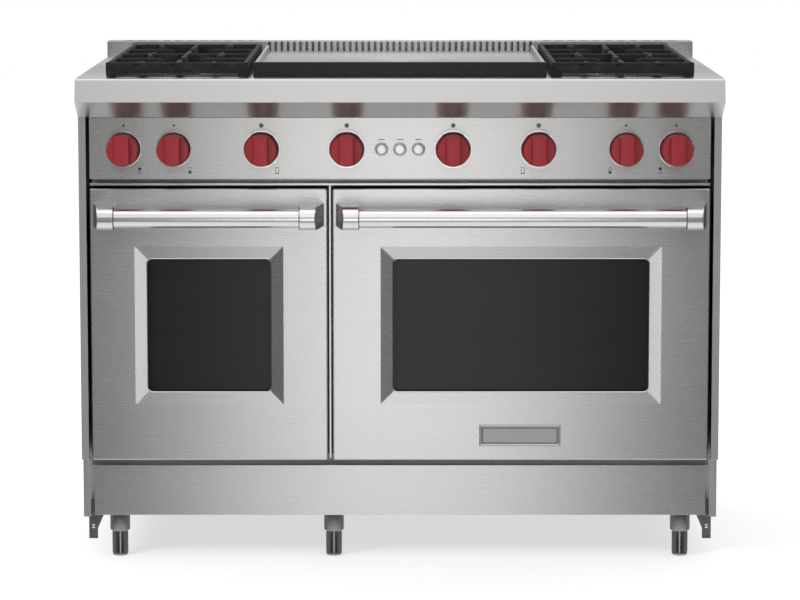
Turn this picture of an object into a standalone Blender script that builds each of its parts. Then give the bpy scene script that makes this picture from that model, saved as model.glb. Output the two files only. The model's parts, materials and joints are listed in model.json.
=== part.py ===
"""A freestanding gas range with two ovens, as an assembly of separate folded, cast and turned pieces.

Metres, +Z up. +X is to the right as seen from the front, and the front faces -Y. The floor is Z = 0.
A depth is measured back from the front of the cooktop's rail, and at_depth() turns it into a Y.
Run it with: blender --background --python part.py
"""

import itertools
import math

import bmesh
import bpy
from mathutils import Vector

# Overall size
WIDTH = 1.216
DECK_TOP = 0.932
DEPTH = 0.749
HANDLE_REACH = 0.030  # how far the handles stand in front of the rail
SHEET = 0.0015
GAP = 0.0003  # air between two pieces that touch
PLAY = 0.0005  # air around a piece that turns or slides in a hole

# Chassis
SIDE_WIDTH = 0.014
SIDE_FOOT = 0.084
SIDE_STEP = 0.002  # how far the side panels' front edges are behind the doors' faces
PLINTH_STEP = 0.030  # and how far the kick panel is
BACK_STEP = 0.004  # how far the side panels stop short of the back
KICK_BOTTOM = 0.0875
KICK_HEIGHT = 0.0975
KICK_DEPTH = 0.012
PAN_SHEET = 0.002
PAN_SKIRT = 0.0185
PAN_UPSTAND = 0.012
PAN_STEP = 0.002  # clearance between the base pan and the pieces in front of it and behind it
PAN_DROP = 0.0015  # how far the base pan's top is below the doors
TONGUE_ROOT = 0.030
BRACKET_SHEET = 0.002
BRACKET_INNER = 0.0045
BRACKET_OUTER = 0.0055
BRACKET_DROP = 0.0485
BRACKET_RISE = 0.0275
BRACKET_HOLE = 0.0024
GUSSET_WIDTH = 0.013
GUSSET_DROP = 0.030
BACK_FLANGE = 0.012
BACK_FOOT = 0.105
LOUVRE_ROWS = 3
LOUVRE_PITCH = 0.130
LOUVRE_RISE = 0.030
LOUVRE_DROP = 0.200
LOUVRE_LENGTH = 0.090
LOUVRE_HEIGHT = 0.007

# Legs
PAD_HEIGHT = 0.0054
PAD_ROUND = 0.0035
SLEEVE_WALL = 0.0035  # how much thicker a leg sleeve is than its foot
SLEEVE_BOTTOM = 0.049
SLEEVE_CHAMFER = 0.0035
STEM_CLEARANCE = 0.0010
LEG_SETBACK = 0.141
LEG_BACK_STEP = 0.045  # how much nearer the back legs are to the back
LEG_INSET = 0.0655
LEG_MIDDLE = -0.128
FOOT_RADIUS = 0.0155
STEM_RADIUS = 0.0050
STEM_TOP = 0.102

# Cooktop deck, rail and backguard
DECK_SHEET = 0.002
RAIL_FACE = 0.043
RAIL_LEAN = 0.010  # how far the rail's face leans back at its top
RAIL_DEPTH = 0.062
RAIL_DROP = 0.033
RAIL_RADIUS = 0.005
RAIL_LIP = 0.006
SKIRT = 0.032
GUARD_DEPTH = 0.0615
GUARD_RISE = 0.033
GUARD_SIDE = 0.002
GUARD_SHEET = 0.002
SLOT_COUNT = 43
SLOT_PITCH = 0.01286
SLOT_WIDTH = 0.0056
SLOT_HEIGHT = 0.0210
SLOT_RUN = 0.024
VENT_PITCH = 0.0258
VENT_LENGTH = 0.0178
VENT_WIDTH = 0.024
VENT_MARGIN = 0.010
VENT_INSET = 0.008
VENT_RADIUS = 0.004

# Burners and grates
PAN_RIM = 0.010
PAN_WELL = 0.014
WELL_CLEARANCE = 0.007
WELL_SIDE = 0.004
WELL_RADIUS = 0.010
DECK_LAP = 0.001
GRATE_SPAN = 0.268
GRATE_MARGIN = 0.054
GRATE_FRONT = 0.057
GRATE_BACK_GAP = 0.0035
GRATE_HEIGHT = 0.028
BAR = 0.011
BAR_HEIGHT = 0.020
GRATE_FOOT = 0.025
BURNER_FRONT = 0.143  # from the front of the grates to the front burners
BURNER_BACK = 0.184  # and from the back ones to the back of the grates
FINGER_CLEARANCE = 0.004  # from a burner's cap to the fingers round it
RIB_OFFSET = 0.075
RIB_REACH = 0.060
CAP_RADIUS = 0.036
CAP_LIP = 0.003
HEAD_FLANGE = 0.009
HEAD_HEIGHT = 0.017
CAP_HEIGHT = 0.0065

# Griddle
GRIDDLE_GAP = 0.0095
TRAY_DEPTH = 0.0205
GRIDDLE_RISE = 0.0255
GRIDDLE_WALL = 0.006
GRIDDLE_FLOOR = 0.011
GRIDDLE_SILL = 0.0015  # what is left of the wall at the back
GRIDDLE_RADIUS = 0.008
GRIDDLE_PLAY = 0.001
GRIDDLE_OPENING = 0.014
GRIDDLE_OPENING_FRONT = 0.035
TRAY_WALL = 0.003
TRAY_FLOOR = 0.006

# Control panel
PANEL_HEIGHT = 0.1160
PANEL_DEPTH = 0.018
PANEL_SHEET = 0.002
PANEL_GAP = 0.0083
CONTROL_HEIGHT = 0.0563
KNOB_RADIUS = 0.031
KNOB_SEAT = 0.003
KNOB_SKIRT = 0.0345
KNOB_TAPER = 0.0025
KNOB_REACH = 0.0475
GRIP_WIDTH = 0.026
GRIP_INSET = 0.0025  # from the knob's rim to the ends of its grip bar
GRIP_RADIUS = 0.009
GRIP_DRAFT = 0.0012
SHAFT_RADIUS = 0.004
SHAFT_LENGTH = 0.032
OUTER_KNOB_INSET = 0.086
OUTER_KNOB_PITCH = 0.095
INNER_KNOBS = (0.262, 0.1005)
BUTTON_RADIUS = 0.0075
BUTTON_REACH = 0.010
BUTTON_PITCH = 0.035
BUTTON_COLLAR = 0.0095
BUTTON_EDGE = 0.0015
BUTTON_SLACK = 0.001
MANIFOLD_RADIUS = 0.011
MANIFOLD_STEP = 0.046  # from the control panel's face to the manifold's centre
VALVE_WIDTH = 0.026
VALVE_HEIGHT = 0.032
VALVE_BACK = 0.014
VALVE_CLEARANCE = 0.002
INLET_CLEARANCE = 0.003
INLET_INSET = 0.043

# Doors
SMALL_DOOR_WIDTH = 0.449
DOOR_SIDE_GAP = 0.007
DOOR_GAP = 0.0105
DOOR_TOP_GAP = 0.0062
DOOR_FOOT_GAP = 0.0154
TRIM_HEIGHT = 0.0042
TRIM_UPSTAND = 0.020
TRIM_STEP = 0.001
MULLION = 0.004
MULLION_STEP = 0.006
SKIN_DEPTH = 0.010
SKIN_EDGE = 0.0018
DOOR_RADIUS = 0.004
DOOR_DEPTH = 0.045
WINDOW_SIDE = {"small": 0.0835, "large": 0.0906}
WINDOW_TOP = 0.1100
WINDOW_FOOT = 0.1079
BEVEL_WIDTH = 0.0225
WINDOW_RADIUS = 0.0016
BEVEL_DEPTH = 0.0025  # how far the frame sinks over its own width
GLASS_RADIUS = 0.011
GLASS_LAP = 0.008
GLASS_THICKNESS = 0.004
LINER_INSET = 0.003
LINER_RADIUS = 0.004
LINER_WALL = 0.002
HINGE_SETBACK = 0.018  # behind the door's face
HINGE_RISE = 0.0146  # above the door's bottom edge
HINGE_NOTCH = 0.022
HINGE_NOTCH_TOP = 0.040
HINGE_BLOCK = 0.014
PIN_RADIUS = 0.004
TONGUE = 0.004
TONGUE_INSET = 0.010
TONGUE_HEIGHT = 0.014
TONGUE_NOSE = 0.008
LINER_PIN_INSET = 0.003

# Handles
HANDLE_RADIUS = 0.018
HANDLE_DROP = 0.0490
FERRULE_WALL = 0.004
FERRULE_LENGTH = 0.0295  # along the front of a bracket
FERRULE_CAP = 0.006
POST_INSET = 0.0055  # from the door's edge to the bracket's foot
POST_FLARE = 0.0155  # how far the bracket's outer end leans out towards the door

# Ovens
OVEN_CLEARANCE = 0.007  # between a shut door and its oven
OVEN_FLANGE = 0.003
OVEN_RISE = 0.0045
OVEN_DROP = 0.001
CAVITY_SIDE = 0.0555
CAVITY_FOOT = 0.0585
CAVITY_HEADROOM = 0.0625
CAVITY_SETBACK = 0.109  # from the back of the range to the ovens' back walls
CAVITY_RADIUS = 0.020
RAIL_LEVELS = (0.095, 0.185, 0.275)
RACK_RAIL = 0.006
RACK_LEVEL = 1
RAIL_HEIGHT = 0.003
RACK_PLAY = 0.0025
RACK_WIRE = 0.005
RACK_UPPER = 0.003
RACK_PITCH = 0.045
RACK_FRONT = 0.022
RACK_BACK = 0.060
FAN_RADIUS = 0.075
FAN_HUB = 0.018
FAN_DEPTH = 0.024
FAN_BLADES = 8
FAN_BLADE = 0.0025

# Worked out from the sizes above
HALF = WIDTH / 2
PANEL_TOP = DECK_TOP - RAIL_FACE - RAIL_DROP - GAP
PANEL_BOTTOM = PANEL_TOP - PANEL_HEIGHT
PANEL_FACE = RAIL_DEPTH
TRIM_TOP = PANEL_BOTTOM - PANEL_GAP
DOOR_TOP = TRIM_TOP - TRIM_HEIGHT - DOOR_TOP_GAP
KICK_TOP = KICK_BOTTOM + KICK_HEIGHT
DOOR_BOTTOM = KICK_TOP + DOOR_FOOT_GAP
DOOR_FACE = RAIL_DEPTH
DOOR_BACK = DOOR_FACE + DOOR_DEPTH
SIDE_SETBACK = DOOR_FACE + SIDE_STEP
PLINTH_SETBACK = DOOR_FACE + PLINTH_STEP
OVEN_SETBACK = DOOR_BACK + OVEN_CLEARANCE
PAN_SETBACK = OVEN_SETBACK + OVEN_FLANGE + PAN_STEP
MANIFOLD_SETBACK = PANEL_FACE + MANIFOLD_STEP
CAVITY_BACK = DEPTH - CAVITY_SETBACK
HINGE_DEPTH = DOOR_FACE + HINGE_SETBACK
HINGE_Z = DOOR_BOTTOM + HINGE_RISE
FRAME_HALF = HALF - SIDE_WIDTH
DOOR_EDGE = FRAME_HALF - DOOR_SIDE_GAP
DOORS = {
    "small": (-DOOR_EDGE, -DOOR_EDGE + SMALL_DOOR_WIDTH),
    "large": (-DOOR_EDGE + SMALL_DOOR_WIDTH + DOOR_GAP, DOOR_EDGE),
}
MULLION_X = DOORS["small"][1] + DOOR_GAP / 2
CONTROL_Z = PANEL_BOTTOM + CONTROL_HEIGHT
KNOBS = (
    -HALF + OUTER_KNOB_INSET,
    -HALF + OUTER_KNOB_INSET + OUTER_KNOB_PITCH,
    -INNER_KNOBS[0],
    -INNER_KNOBS[1],
    INNER_KNOBS[1],
    INNER_KNOBS[0],
    HALF - OUTER_KNOB_INSET - OUTER_KNOB_PITCH,
    HALF - OUTER_KNOB_INSET,
)
GUARD_FRONT = DEPTH - GUARD_DEPTH
DECK_BACK = GUARD_FRONT - GAP
GRATE_BACK = GUARD_FRONT - GRATE_BACK_GAP
GRATE_TOP = DECK_TOP + GRATE_HEIGHT
GRATE_X = HALF - GRATE_MARGIN - GRATE_SPAN / 2
GRIDDLE_HALF = HALF - GRATE_MARGIN - GRATE_SPAN - GRIDDLE_GAP
BURNERS = (GRATE_FRONT + BURNER_FRONT, GRATE_BACK - BURNER_BACK)
WELL_FLOOR = DECK_TOP - PAN_WELL
SIDE_TOP = DECK_TOP - SKIRT - GAP
BASE_TOP = DOOR_BOTTOM - PAN_DROP
OVEN_FOOT = BASE_TOP + OVEN_RISE
OVEN_HEAD = TRIM_TOP - TRIM_HEIGHT - OVEN_DROP
HEAD_RADIUS = CAP_RADIUS - CAP_LIP
FINGER_GAP = CAP_RADIUS + FINGER_CLEARANCE
SLEEVE_RADIUS = FOOT_RADIUS + SLEEVE_WALL
SLEEVE_BORE = STEM_RADIUS + STEM_CLEARANCE
GRIP_LENGTH = 2 * (KNOB_RADIUS - GRIP_INSET)
FERRULE_RADIUS = HANDLE_RADIUS + FERRULE_WALL

FINISHES = {
    "stainless": ((0.62, 0.62, 0.61), 0.32, 1.0),
    "chrome": ((0.80, 0.80, 0.80), 0.12, 1.0),
    "cast_iron": ((0.020, 0.020, 0.021), 0.60, 0.0),
    "black_enamel": ((0.012, 0.012, 0.013), 0.25, 0.0),
    "oven_enamel": ((0.030, 0.033, 0.040), 0.30, 0.0),
    "burner_alloy": ((0.45, 0.44, 0.42), 0.45, 1.0),
    "knob_red": ((0.20, 0.020, 0.027), 0.38, 0.0),
    "door_glass": ((0.010, 0.011, 0.012), 0.06, 0.0),
    "griddle_steel": ((0.55, 0.55, 0.54), 0.35, 1.0),
    "wire": ((0.60, 0.60, 0.60), 0.25, 1.0),
    "leg_steel": ((0.22, 0.22, 0.22), 0.35, 1.0),
    "galvanised": ((0.42, 0.43, 0.44), 0.50, 1.0),
    "brass": ((0.55, 0.40, 0.16), 0.35, 1.0),
}


# Outlines and the planes that they lie on
def at_depth(depth):
    return depth - (DEPTH - HANDLE_REACH) / 2


def front(points, depth):
    """An outline in X and Z, at a depth."""
    return [Vector((u, at_depth(depth), v)) for u, v in points]


def level(points, z):
    """An outline in X and depth, at a height."""
    return [Vector((u, at_depth(v), z)) for u, v in points]


def side(points, x):
    """An outline in depth and Z, at an X."""
    return [Vector((x, at_depth(u), v)) for u, v in points]


def rect(u0, u1, v0, v1, inset=0.0):
    return [
        (u0 + inset, v0 + inset),
        (u1 - inset, v0 + inset),
        (u1 - inset, v1 - inset),
        (u0 + inset, v1 - inset),
    ]


def arc(u, v, radius, start, end, steps):
    """Points of an arc, with its angles in degrees."""
    angles = [math.radians(start + (end - start) * step / steps) for step in range(steps + 1)]
    return [(u + radius * math.cos(angle), v + radius * math.sin(angle)) for angle in angles]


def round_rect(u0, u1, v0, v1, radius, inset=0.0, steps=4):
    """A rectangle with round corners. The inset moves every side in and keeps the corner's radius."""
    u0, u1, v0, v1 = u0 + inset, u1 - inset, v0 + inset, v1 - inset
    return (
        arc(u1 - radius, v0 + radius, radius, -90, 0, steps)
        + arc(u1 - radius, v1 - radius, radius, 0, 90, steps)
        + arc(u0 + radius, v1 - radius, radius, 90, 180, steps)
        + arc(u0 + radius, v0 + radius, radius, 180, 270, steps)
    )


def circle(u, v, radius, steps=24):
    return arc(u, v, radius, 0, 360, steps)[:-1]


# Shapes, each a list of rings that a skin joins
def block(u, depth, z):
    """A box, from three pairs of limits."""
    return [level(rect(*u, *depth), height) for height in z]


def rod_x(x, depth, z, radius, steps=16):
    return [side(circle(depth, z, radius, steps), end) for end in x]


def rod_y(x, depth, z, radius, steps=16):
    return [front(circle(x, z, radius, steps), end) for end in depth]


def turned_y(x, z, profile, steps=24):
    return [front(circle(x, z, radius, steps), depth) for depth, radius in profile]


def turned_z(x, depth, profile, steps=24):
    return [level(circle(x, depth, radius, steps), z) for z, radius in profile]


def tray(plane, outer, inner, face, rim, floor):
    """A pan with one open side: its closed face, its rim, and the floor inside it."""
    return [plane(outer, face), plane(outer, rim), plane(inner, rim), plane(inner, floor)]


# Objects
def finish_of(name):
    material = bpy.data.materials.get(name)
    if material:
        return material
    colour, roughness, metallic = FINISHES[name]
    material = bpy.data.materials.new(name)
    material.use_nodes = True
    shader = material.node_tree.nodes["Principled BSDF"]
    shader.inputs["Base Color"].default_value = (*colour, 1.0)
    shader.inputs["Roughness"].default_value = roughness
    shader.inputs["Metallic"].default_value = metallic
    return material


def add_object(name, mesh):
    obj = bpy.data.objects.new(name, mesh)
    bpy.context.scene.collection.objects.link(obj)
    return obj


def skin(mesh, rings, closed=False):
    """Join each ring to the next, and cap the ends or, when closed, join the last ring to the first."""
    loops = [[mesh.verts.new(point) for point in ring] for ring in rings]
    pairs = list(zip(loops, loops[1:]))
    if closed:
        pairs.append((loops[-1], loops[0]))
    else:
        mesh.faces.new(loops[0])
        mesh.faces.new(loops[-1])
    for first, second in pairs:
        for index in range(len(first)):
            after = (index + 1) % len(first)
            mesh.faces.new((first[index], first[after], second[after], second[index]))


def finished_mesh(name, mesh, finish, smooth):
    bmesh.ops.recalc_face_normals(mesh, faces=mesh.faces)
    data = bpy.data.meshes.new(name)
    mesh.to_mesh(data)
    mesh.free()
    if smooth:
        data.shade_smooth()
        data.set_sharp_from_angle(angle=math.radians(35))
    if finish:
        data.materials.append(finish_of(finish))
    return data


def piece(name, finish, *shapes, closed=False, smooth=False):
    """An object made of one shape, or of several that are apart when it is a helper."""
    mesh = bmesh.new()
    for rings in shapes:
        skin(mesh, rings, closed)
    return add_object(name, finished_mesh(name, mesh, finish, smooth))


def helper(obj, operation, shapes):
    """A hidden object that a Boolean modifier adds to, or takes from, the piece."""
    tool = piece(f"{obj.name}_{operation.lower()}_{len(obj.modifiers)}", None, *shapes)
    tool.hide_render = True
    tool.display_type = "WIRE"
    modifier = obj.modifiers.new(tool.name, "BOOLEAN")
    modifier.operation = operation
    modifier.solver = "EXACT"
    modifier.object = tool


def fuse(obj, *shapes):
    helper(obj, "UNION", shapes)


def cut(obj, *shapes):
    helper(obj, "DIFFERENCE", shapes)


def lattice(name, finish, boxes):
    """One closed skin around boxes that overlap, found on the grid of all their faces.

    Each box is three pairs of limits: X, depth and Z.
    """
    cuts = [sorted({round(value, 6) for box in boxes for value in box[axis]}) for axis in range(3)]
    filled = set()
    for box in boxes:
        spans = []
        for axis in range(3):
            low, high = (cuts[axis].index(round(value, 6)) for value in box[axis])
            spans.append(range(low, high))
        filled.update(itertools.product(*spans))
    mesh = bmesh.new()
    corners = {}

    def corner(index):
        if index not in corners:
            x, depth, z = (cuts[axis][index[axis]] for axis in range(3))
            corners[index] = mesh.verts.new((x, at_depth(depth), z))
        return corners[index]

    for cell, axis, step in itertools.product(sorted(filled), range(3), (0, 1)):
        beyond = list(cell)
        beyond[axis] += 2 * step - 1
        if tuple(beyond) in filled:
            continue
        across, up = (axis + 1) % 3, (axis + 2) % 3
        ring = []
        for move_across, move_up in ((0, 0), (1, 0), (1, 1), (0, 1)):
            index = list(cell)
            index[axis] += step
            index[across] += move_across
            index[up] += move_up
            ring.append(corner(tuple(index)))
        mesh.faces.new(ring if step else ring[::-1])
    bmesh.ops.dissolve_limit(mesh, angle_limit=0.01, verts=mesh.verts, edges=mesh.edges)
    return add_object(name, finished_mesh(name, mesh, finish, False))


def set_origin(obj, x, depth, z, parent=None):
    """Put the object's origin on its joint, by itself or at its parent empty."""
    origin = Vector((x, at_depth(depth), z))
    for vertex in obj.data.vertices:
        vertex.co -= origin
    if parent:
        obj.parent = parent
    else:
        obj.location = origin


# Chassis
def side_panel(name, sign):
    lip, behind_lip = PANEL_TOP, RAIL_DEPTH + RAIL_LIP + GAP
    outline = [
        (PLINTH_SETBACK, SIDE_FOOT),
        (DEPTH - BACK_STEP, SIDE_FOOT),
        (DEPTH - BACK_STEP, SIDE_TOP),
        (behind_lip, SIDE_TOP),
        (behind_lip, lip),
        (SIDE_SETBACK, lip),
        (SIDE_SETBACK, DOOR_BOTTOM),
        (PLINTH_SETBACK, DOOR_BOTTOM),
    ]
    inward = [(1, 1), (-1, 1), (-1, -1), (1, -1), (1, -1), (1, -1), (1, 1), (1, 1)]
    inner = [(d + SHEET * a, z + SHEET * b) for (d, z), (a, b) in zip(outline, inward)]
    outside, rim = sign * HALF, sign * FRAME_HALF
    return piece(name, "stainless", tray(side, outline, inner, outside, rim, outside - sign * SHEET))


def back_panel():
    edge = (-FRAME_HALF + PLAY, FRAME_HALF - PLAY, BACK_FOOT, SIDE_TOP)
    rim = DEPTH - BACK_FLANGE
    panel = piece(
        "back_panel", "galvanised", tray(front, rect(*edge), rect(*edge, SHEET), DEPTH, rim, DEPTH - SHEET)
    )
    through = (DEPTH - 2 * SHEET, DEPTH + SHEET)
    inlet = rod_y(HALF - INLET_INSET, through, CONTROL_Z, MANIFOLD_RADIUS + INLET_CLEARANCE)
    louvres = []
    for column, row in itertools.product(range(-3, 4), range(LOUVRE_ROWS)):
        x, z = column * LOUVRE_PITCH, SIDE_TOP - LOUVRE_DROP - row * LOUVRE_RISE
        limits = (x - LOUVRE_LENGTH / 2, x + LOUVRE_LENGTH / 2, z, z + LOUVRE_HEIGHT)
        louvres.append([front(rect(*limits), depth) for depth in through])
    cut(panel, inlet, *louvres)
    return panel


def leg_places():
    rows = (LEG_SETBACK, DEPTH - LEG_SETBACK + LEG_BACK_STEP)
    return [(x, depth) for depth in rows for x in (-HALF + LEG_INSET, LEG_MIDDLE, HALF - LEG_INSET)]


def tongue_places():
    """Each hinge tongue's X limits, two to a door."""
    places = []
    for left, right in DOORS.values():
        places.append((left + TONGUE_INSET, left + TONGUE_INSET + TONGUE))
        places.append((right - TONGUE_INSET - TONGUE, right - TONGUE_INSET))
    return places


def base_pan():
    """The pan under the ovens, with the leg sleeves under it and the hinge tongues in front."""
    half, back, skirt = FRAME_HALF - PLAY, DEPTH - BACK_FLANGE - PAN_STEP, BASE_TOP - PAN_SKIRT
    under, near = BASE_TOP - PAN_SHEET, PAN_SETBACK
    boxes = [
        ((-half, half), (near, back), (under, BASE_TOP)),
        ((-half, half), (near, near + PAN_SHEET), (skirt, BASE_TOP + PAN_UPSTAND)),
        ((-half, half), (back - PAN_SHEET, back), (skirt, BASE_TOP)),
        ((-half, -half + PAN_SHEET), (near, back), (skirt, BASE_TOP)),
        ((half - PAN_SHEET, half), (near, back), (skirt, BASE_TOP)),
    ]
    low, high = HINGE_Z - TONGUE_HEIGHT / 2, HINGE_Z + TONGUE_HEIGHT / 2
    for x in tongue_places():
        boxes.append((x, (HINGE_DEPTH - TONGUE_NOSE, near + TONGUE_ROOT), (low, high)))
        boxes.append((x, (near, near + TONGUE_ROOT), (under, high)))
    pan = lattice("base_pan", "galvanised", boxes)
    profile = (
        (SLEEVE_BOTTOM, FOOT_RADIUS + PLAY),
        (SLEEVE_BOTTOM + SLEEVE_CHAMFER, SLEEVE_RADIUS),
        (BASE_TOP - PAN_SHEET / 2, SLEEVE_RADIUS),
    )
    fuse(pan, *[turned_z(x, depth, profile, 16) for x, depth in leg_places()])
    bore = ((SLEEVE_BOTTOM - PLAY, SLEEVE_BORE), (STEM_TOP + SLEEVE_CHAMFER, SLEEVE_BORE))
    cut(pan, *[turned_z(x, depth, bore, 12) for x, depth in leg_places()])
    pin_bores = []
    for left, right in tongue_places():
        pin_bores.append(rod_x((left - PLAY, right + PLAY), HINGE_DEPTH, HINGE_Z, PIN_RADIUS + GAP, 12))
    cut(pan, *pin_bores)
    return pan


def front_frame():
    """The trim rail above the doors, with its upstand behind the control panel, and the post between them."""
    back = OVEN_SETBACK - TRIM_STEP
    across = (-DOOR_EDGE, DOOR_EDGE)
    rail = (across, (DOOR_FACE + TRIM_STEP, back), (TRIM_TOP - TRIM_HEIGHT, TRIM_TOP))
    upstand = (across, (back - SHEET, back), (TRIM_TOP - TRIM_HEIGHT, TRIM_TOP + TRIM_UPSTAND))
    post_x = (MULLION_X - MULLION / 2, MULLION_X + MULLION / 2)
    post = (post_x, (DOOR_FACE + MULLION_STEP, back), (OVEN_FOOT, TRIM_TOP))
    return lattice("front_frame", "stainless", [rail, upstand, post])


def kick_panel():
    edge = (-DOOR_EDGE, DOOR_EDGE, KICK_BOTTOM, KICK_TOP)
    face = PLINTH_SETBACK
    rings = tray(front, rect(*edge), rect(*edge, SHEET), face, face + KICK_DEPTH, face + SHEET)
    return piece("kick_panel", "stainless", rings)


def kick_bracket(name, sign):
    """The small bracket that hangs below each end of the kick panel, with its triangular gusset."""
    inner, outer, waist = DOOR_EDGE - BRACKET_INNER, FRAME_HALF + BRACKET_OUTER, FRAME_HALF - PLAY
    near = PLINTH_SETBACK + KICK_DEPTH + PAN_STEP
    plate = (near, near + BRACKET_SHEET)
    low, top = KICK_BOTTOM - BRACKET_DROP, KICK_BOTTOM + BRACKET_RISE
    lower = (sorted((sign * inner, sign * outer)), plate, (low, SIDE_FOOT - GAP))
    upper = (sorted((sign * inner, sign * waist)), plate, (low, top))
    bracket = lattice(name, "galvanised", [lower, upper])
    root = sign * (inner + PLAY)
    tip = root - sign * GUSSET_WIDTH
    gusset = [(root, KICK_BOTTOM), (tip, KICK_BOTTOM), (root, KICK_BOTTOM - GUSSET_DROP)]
    fuse(bracket, [front(gusset, near + share * BRACKET_SHEET) for share in (0.25, 0.75)])
    hole = (sign * (inner + outer) / 2, KICK_BOTTOM - BRACKET_DROP / 2)
    cut(bracket, rod_y(hole[0], (near - PLAY, near + BRACKET_SHEET + PLAY), hole[1], BRACKET_HOLE, 12))
    return bracket


def foot(name, x, depth):
    r = FOOT_RADIUS
    profile = (
        (0.0, r - PAD_ROUND),
        (0.25 * PAD_HEIGHT, r - 0.3 * PAD_ROUND),
        (0.75 * PAD_HEIGHT, r - 0.2 * PAD_ROUND),
        (0.85 * PAD_HEIGHT, r - 0.4 * PAD_ROUND),
        (PAD_HEIGHT, r),
        (SLEEVE_BOTTOM - GAP, FOOT_RADIUS),
        (SLEEVE_BOTTOM - GAP, STEM_RADIUS),
        (STEM_TOP, STEM_RADIUS),
    )
    obj = piece(name, "leg_steel", turned_z(x, depth, profile, 16), smooth=True)
    set_origin(obj, x, depth, 0.0)


# Cooktop
def cooktop_deck():
    """The deck with its rolled front rail, hollow from below and behind."""
    r, t = RAIL_RADIUS, DECK_SHEET
    rail_foot = DECK_TOP - RAIL_FACE
    lip = rail_foot - RAIL_DROP
    lean = math.degrees(math.atan2(RAIL_LEAN, RAIL_FACE))
    outline = [
        (0.0, rail_foot),
        (RAIL_DEPTH, lip),
        (RAIL_DEPTH + RAIL_LIP, lip),
        (RAIL_DEPTH + RAIL_LIP, DECK_TOP - SKIRT),
        (DECK_BACK, DECK_TOP - SKIRT),
        (DECK_BACK, DECK_TOP),
    ] + arc(RAIL_LEAN + r, DECK_TOP - r, r, 90, 180 - lean, 4)
    deck = piece("cooktop_deck", "stainless", [side(outline, x) for x in (-HALF, HALF)])
    hollow = [
        (t, rail_foot + t / 2),
        (RAIL_DEPTH, lip + t),
        (DECK_BACK + t, lip + t),
        (DECK_BACK + t, DECK_TOP - t),
        (RAIL_LEAN + r, DECK_TOP - t),
        (RAIL_LEAN + t, DECK_TOP - r),
    ]
    cut(deck, [side(hollow, x) for x in (-HALF + t, HALF - t)])
    holes = [well_limits(sign, PAN_RIM) for sign in (-1, 1)]
    inside = GRIDDLE_HALF - GRIDDLE_OPENING
    holes.append((-inside, inside, GRATE_FRONT + GRIDDLE_OPENING_FRONT, GRATE_BACK - GRIDDLE_OPENING))
    cut(deck, *[block(hole[:2], hole[2:], (DECK_TOP - 2 * t, DECK_TOP + t)) for hole in holes])
    return deck


def well_limits(sign, inset):
    """X and depth limits of a burner pan, inside its grate's feet."""
    half = GRATE_SPAN / 2 - WELL_SIDE - inset
    near, far = GRATE_FRONT + BAR + WELL_CLEARANCE + inset, GRATE_BACK - BAR - WELL_CLEARANCE - inset
    return (sign * GRATE_X - half, sign * GRATE_X + half, near, far)


def burner_pan(name, sign):
    rim_top = DECK_TOP + GAP + SHEET
    rim = round_rect(*well_limits(sign, 0.0), WELL_RADIUS)
    outer = round_rect(*well_limits(sign, PAN_RIM + DECK_LAP), WELL_RADIUS)
    inner = round_rect(*well_limits(sign, PAN_RIM + DECK_LAP + SHEET), WELL_RADIUS - SHEET / 2)
    rings = [
        level(outer, WELL_FLOOR - SHEET),
        level(outer, DECK_TOP + GAP),
        level(rim, DECK_TOP + GAP),
        level(rim, rim_top),
        level(inner, rim_top),
        level(inner, WELL_FLOOR),
    ]
    return piece(name, "black_enamel", rings)


def burner(number, x, depth):
    """A burner's alloy head, and the loose cap on it."""
    seat = WELL_FLOOR + GAP
    base = HEAD_RADIUS + CAP_LIP + HEAD_FLANGE
    head = (
        (seat, base),
        (seat + CAP_LIP, base),
        (seat + 2 * CAP_LIP, HEAD_RADIUS + CAP_LIP),
        (seat + HEAD_HEIGHT, HEAD_RADIUS),
    )
    top = seat + HEAD_HEIGHT + GAP
    cap = (
        (top, CAP_RADIUS - 0.30 * CAP_HEIGHT),
        (top + 0.25 * CAP_HEIGHT, CAP_RADIUS),
        (top + 0.70 * CAP_HEIGHT, CAP_RADIUS - 0.15 * CAP_HEIGHT),
        (top + CAP_HEIGHT, CAP_RADIUS - 0.90 * CAP_HEIGHT),
    )
    piece(f"burner_head_{number}", "burner_alloy", turned_z(x, depth, head), smooth=True)
    piece(f"burner_cap_{number}", "black_enamel", turned_z(x, depth, cap), smooth=True)


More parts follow.
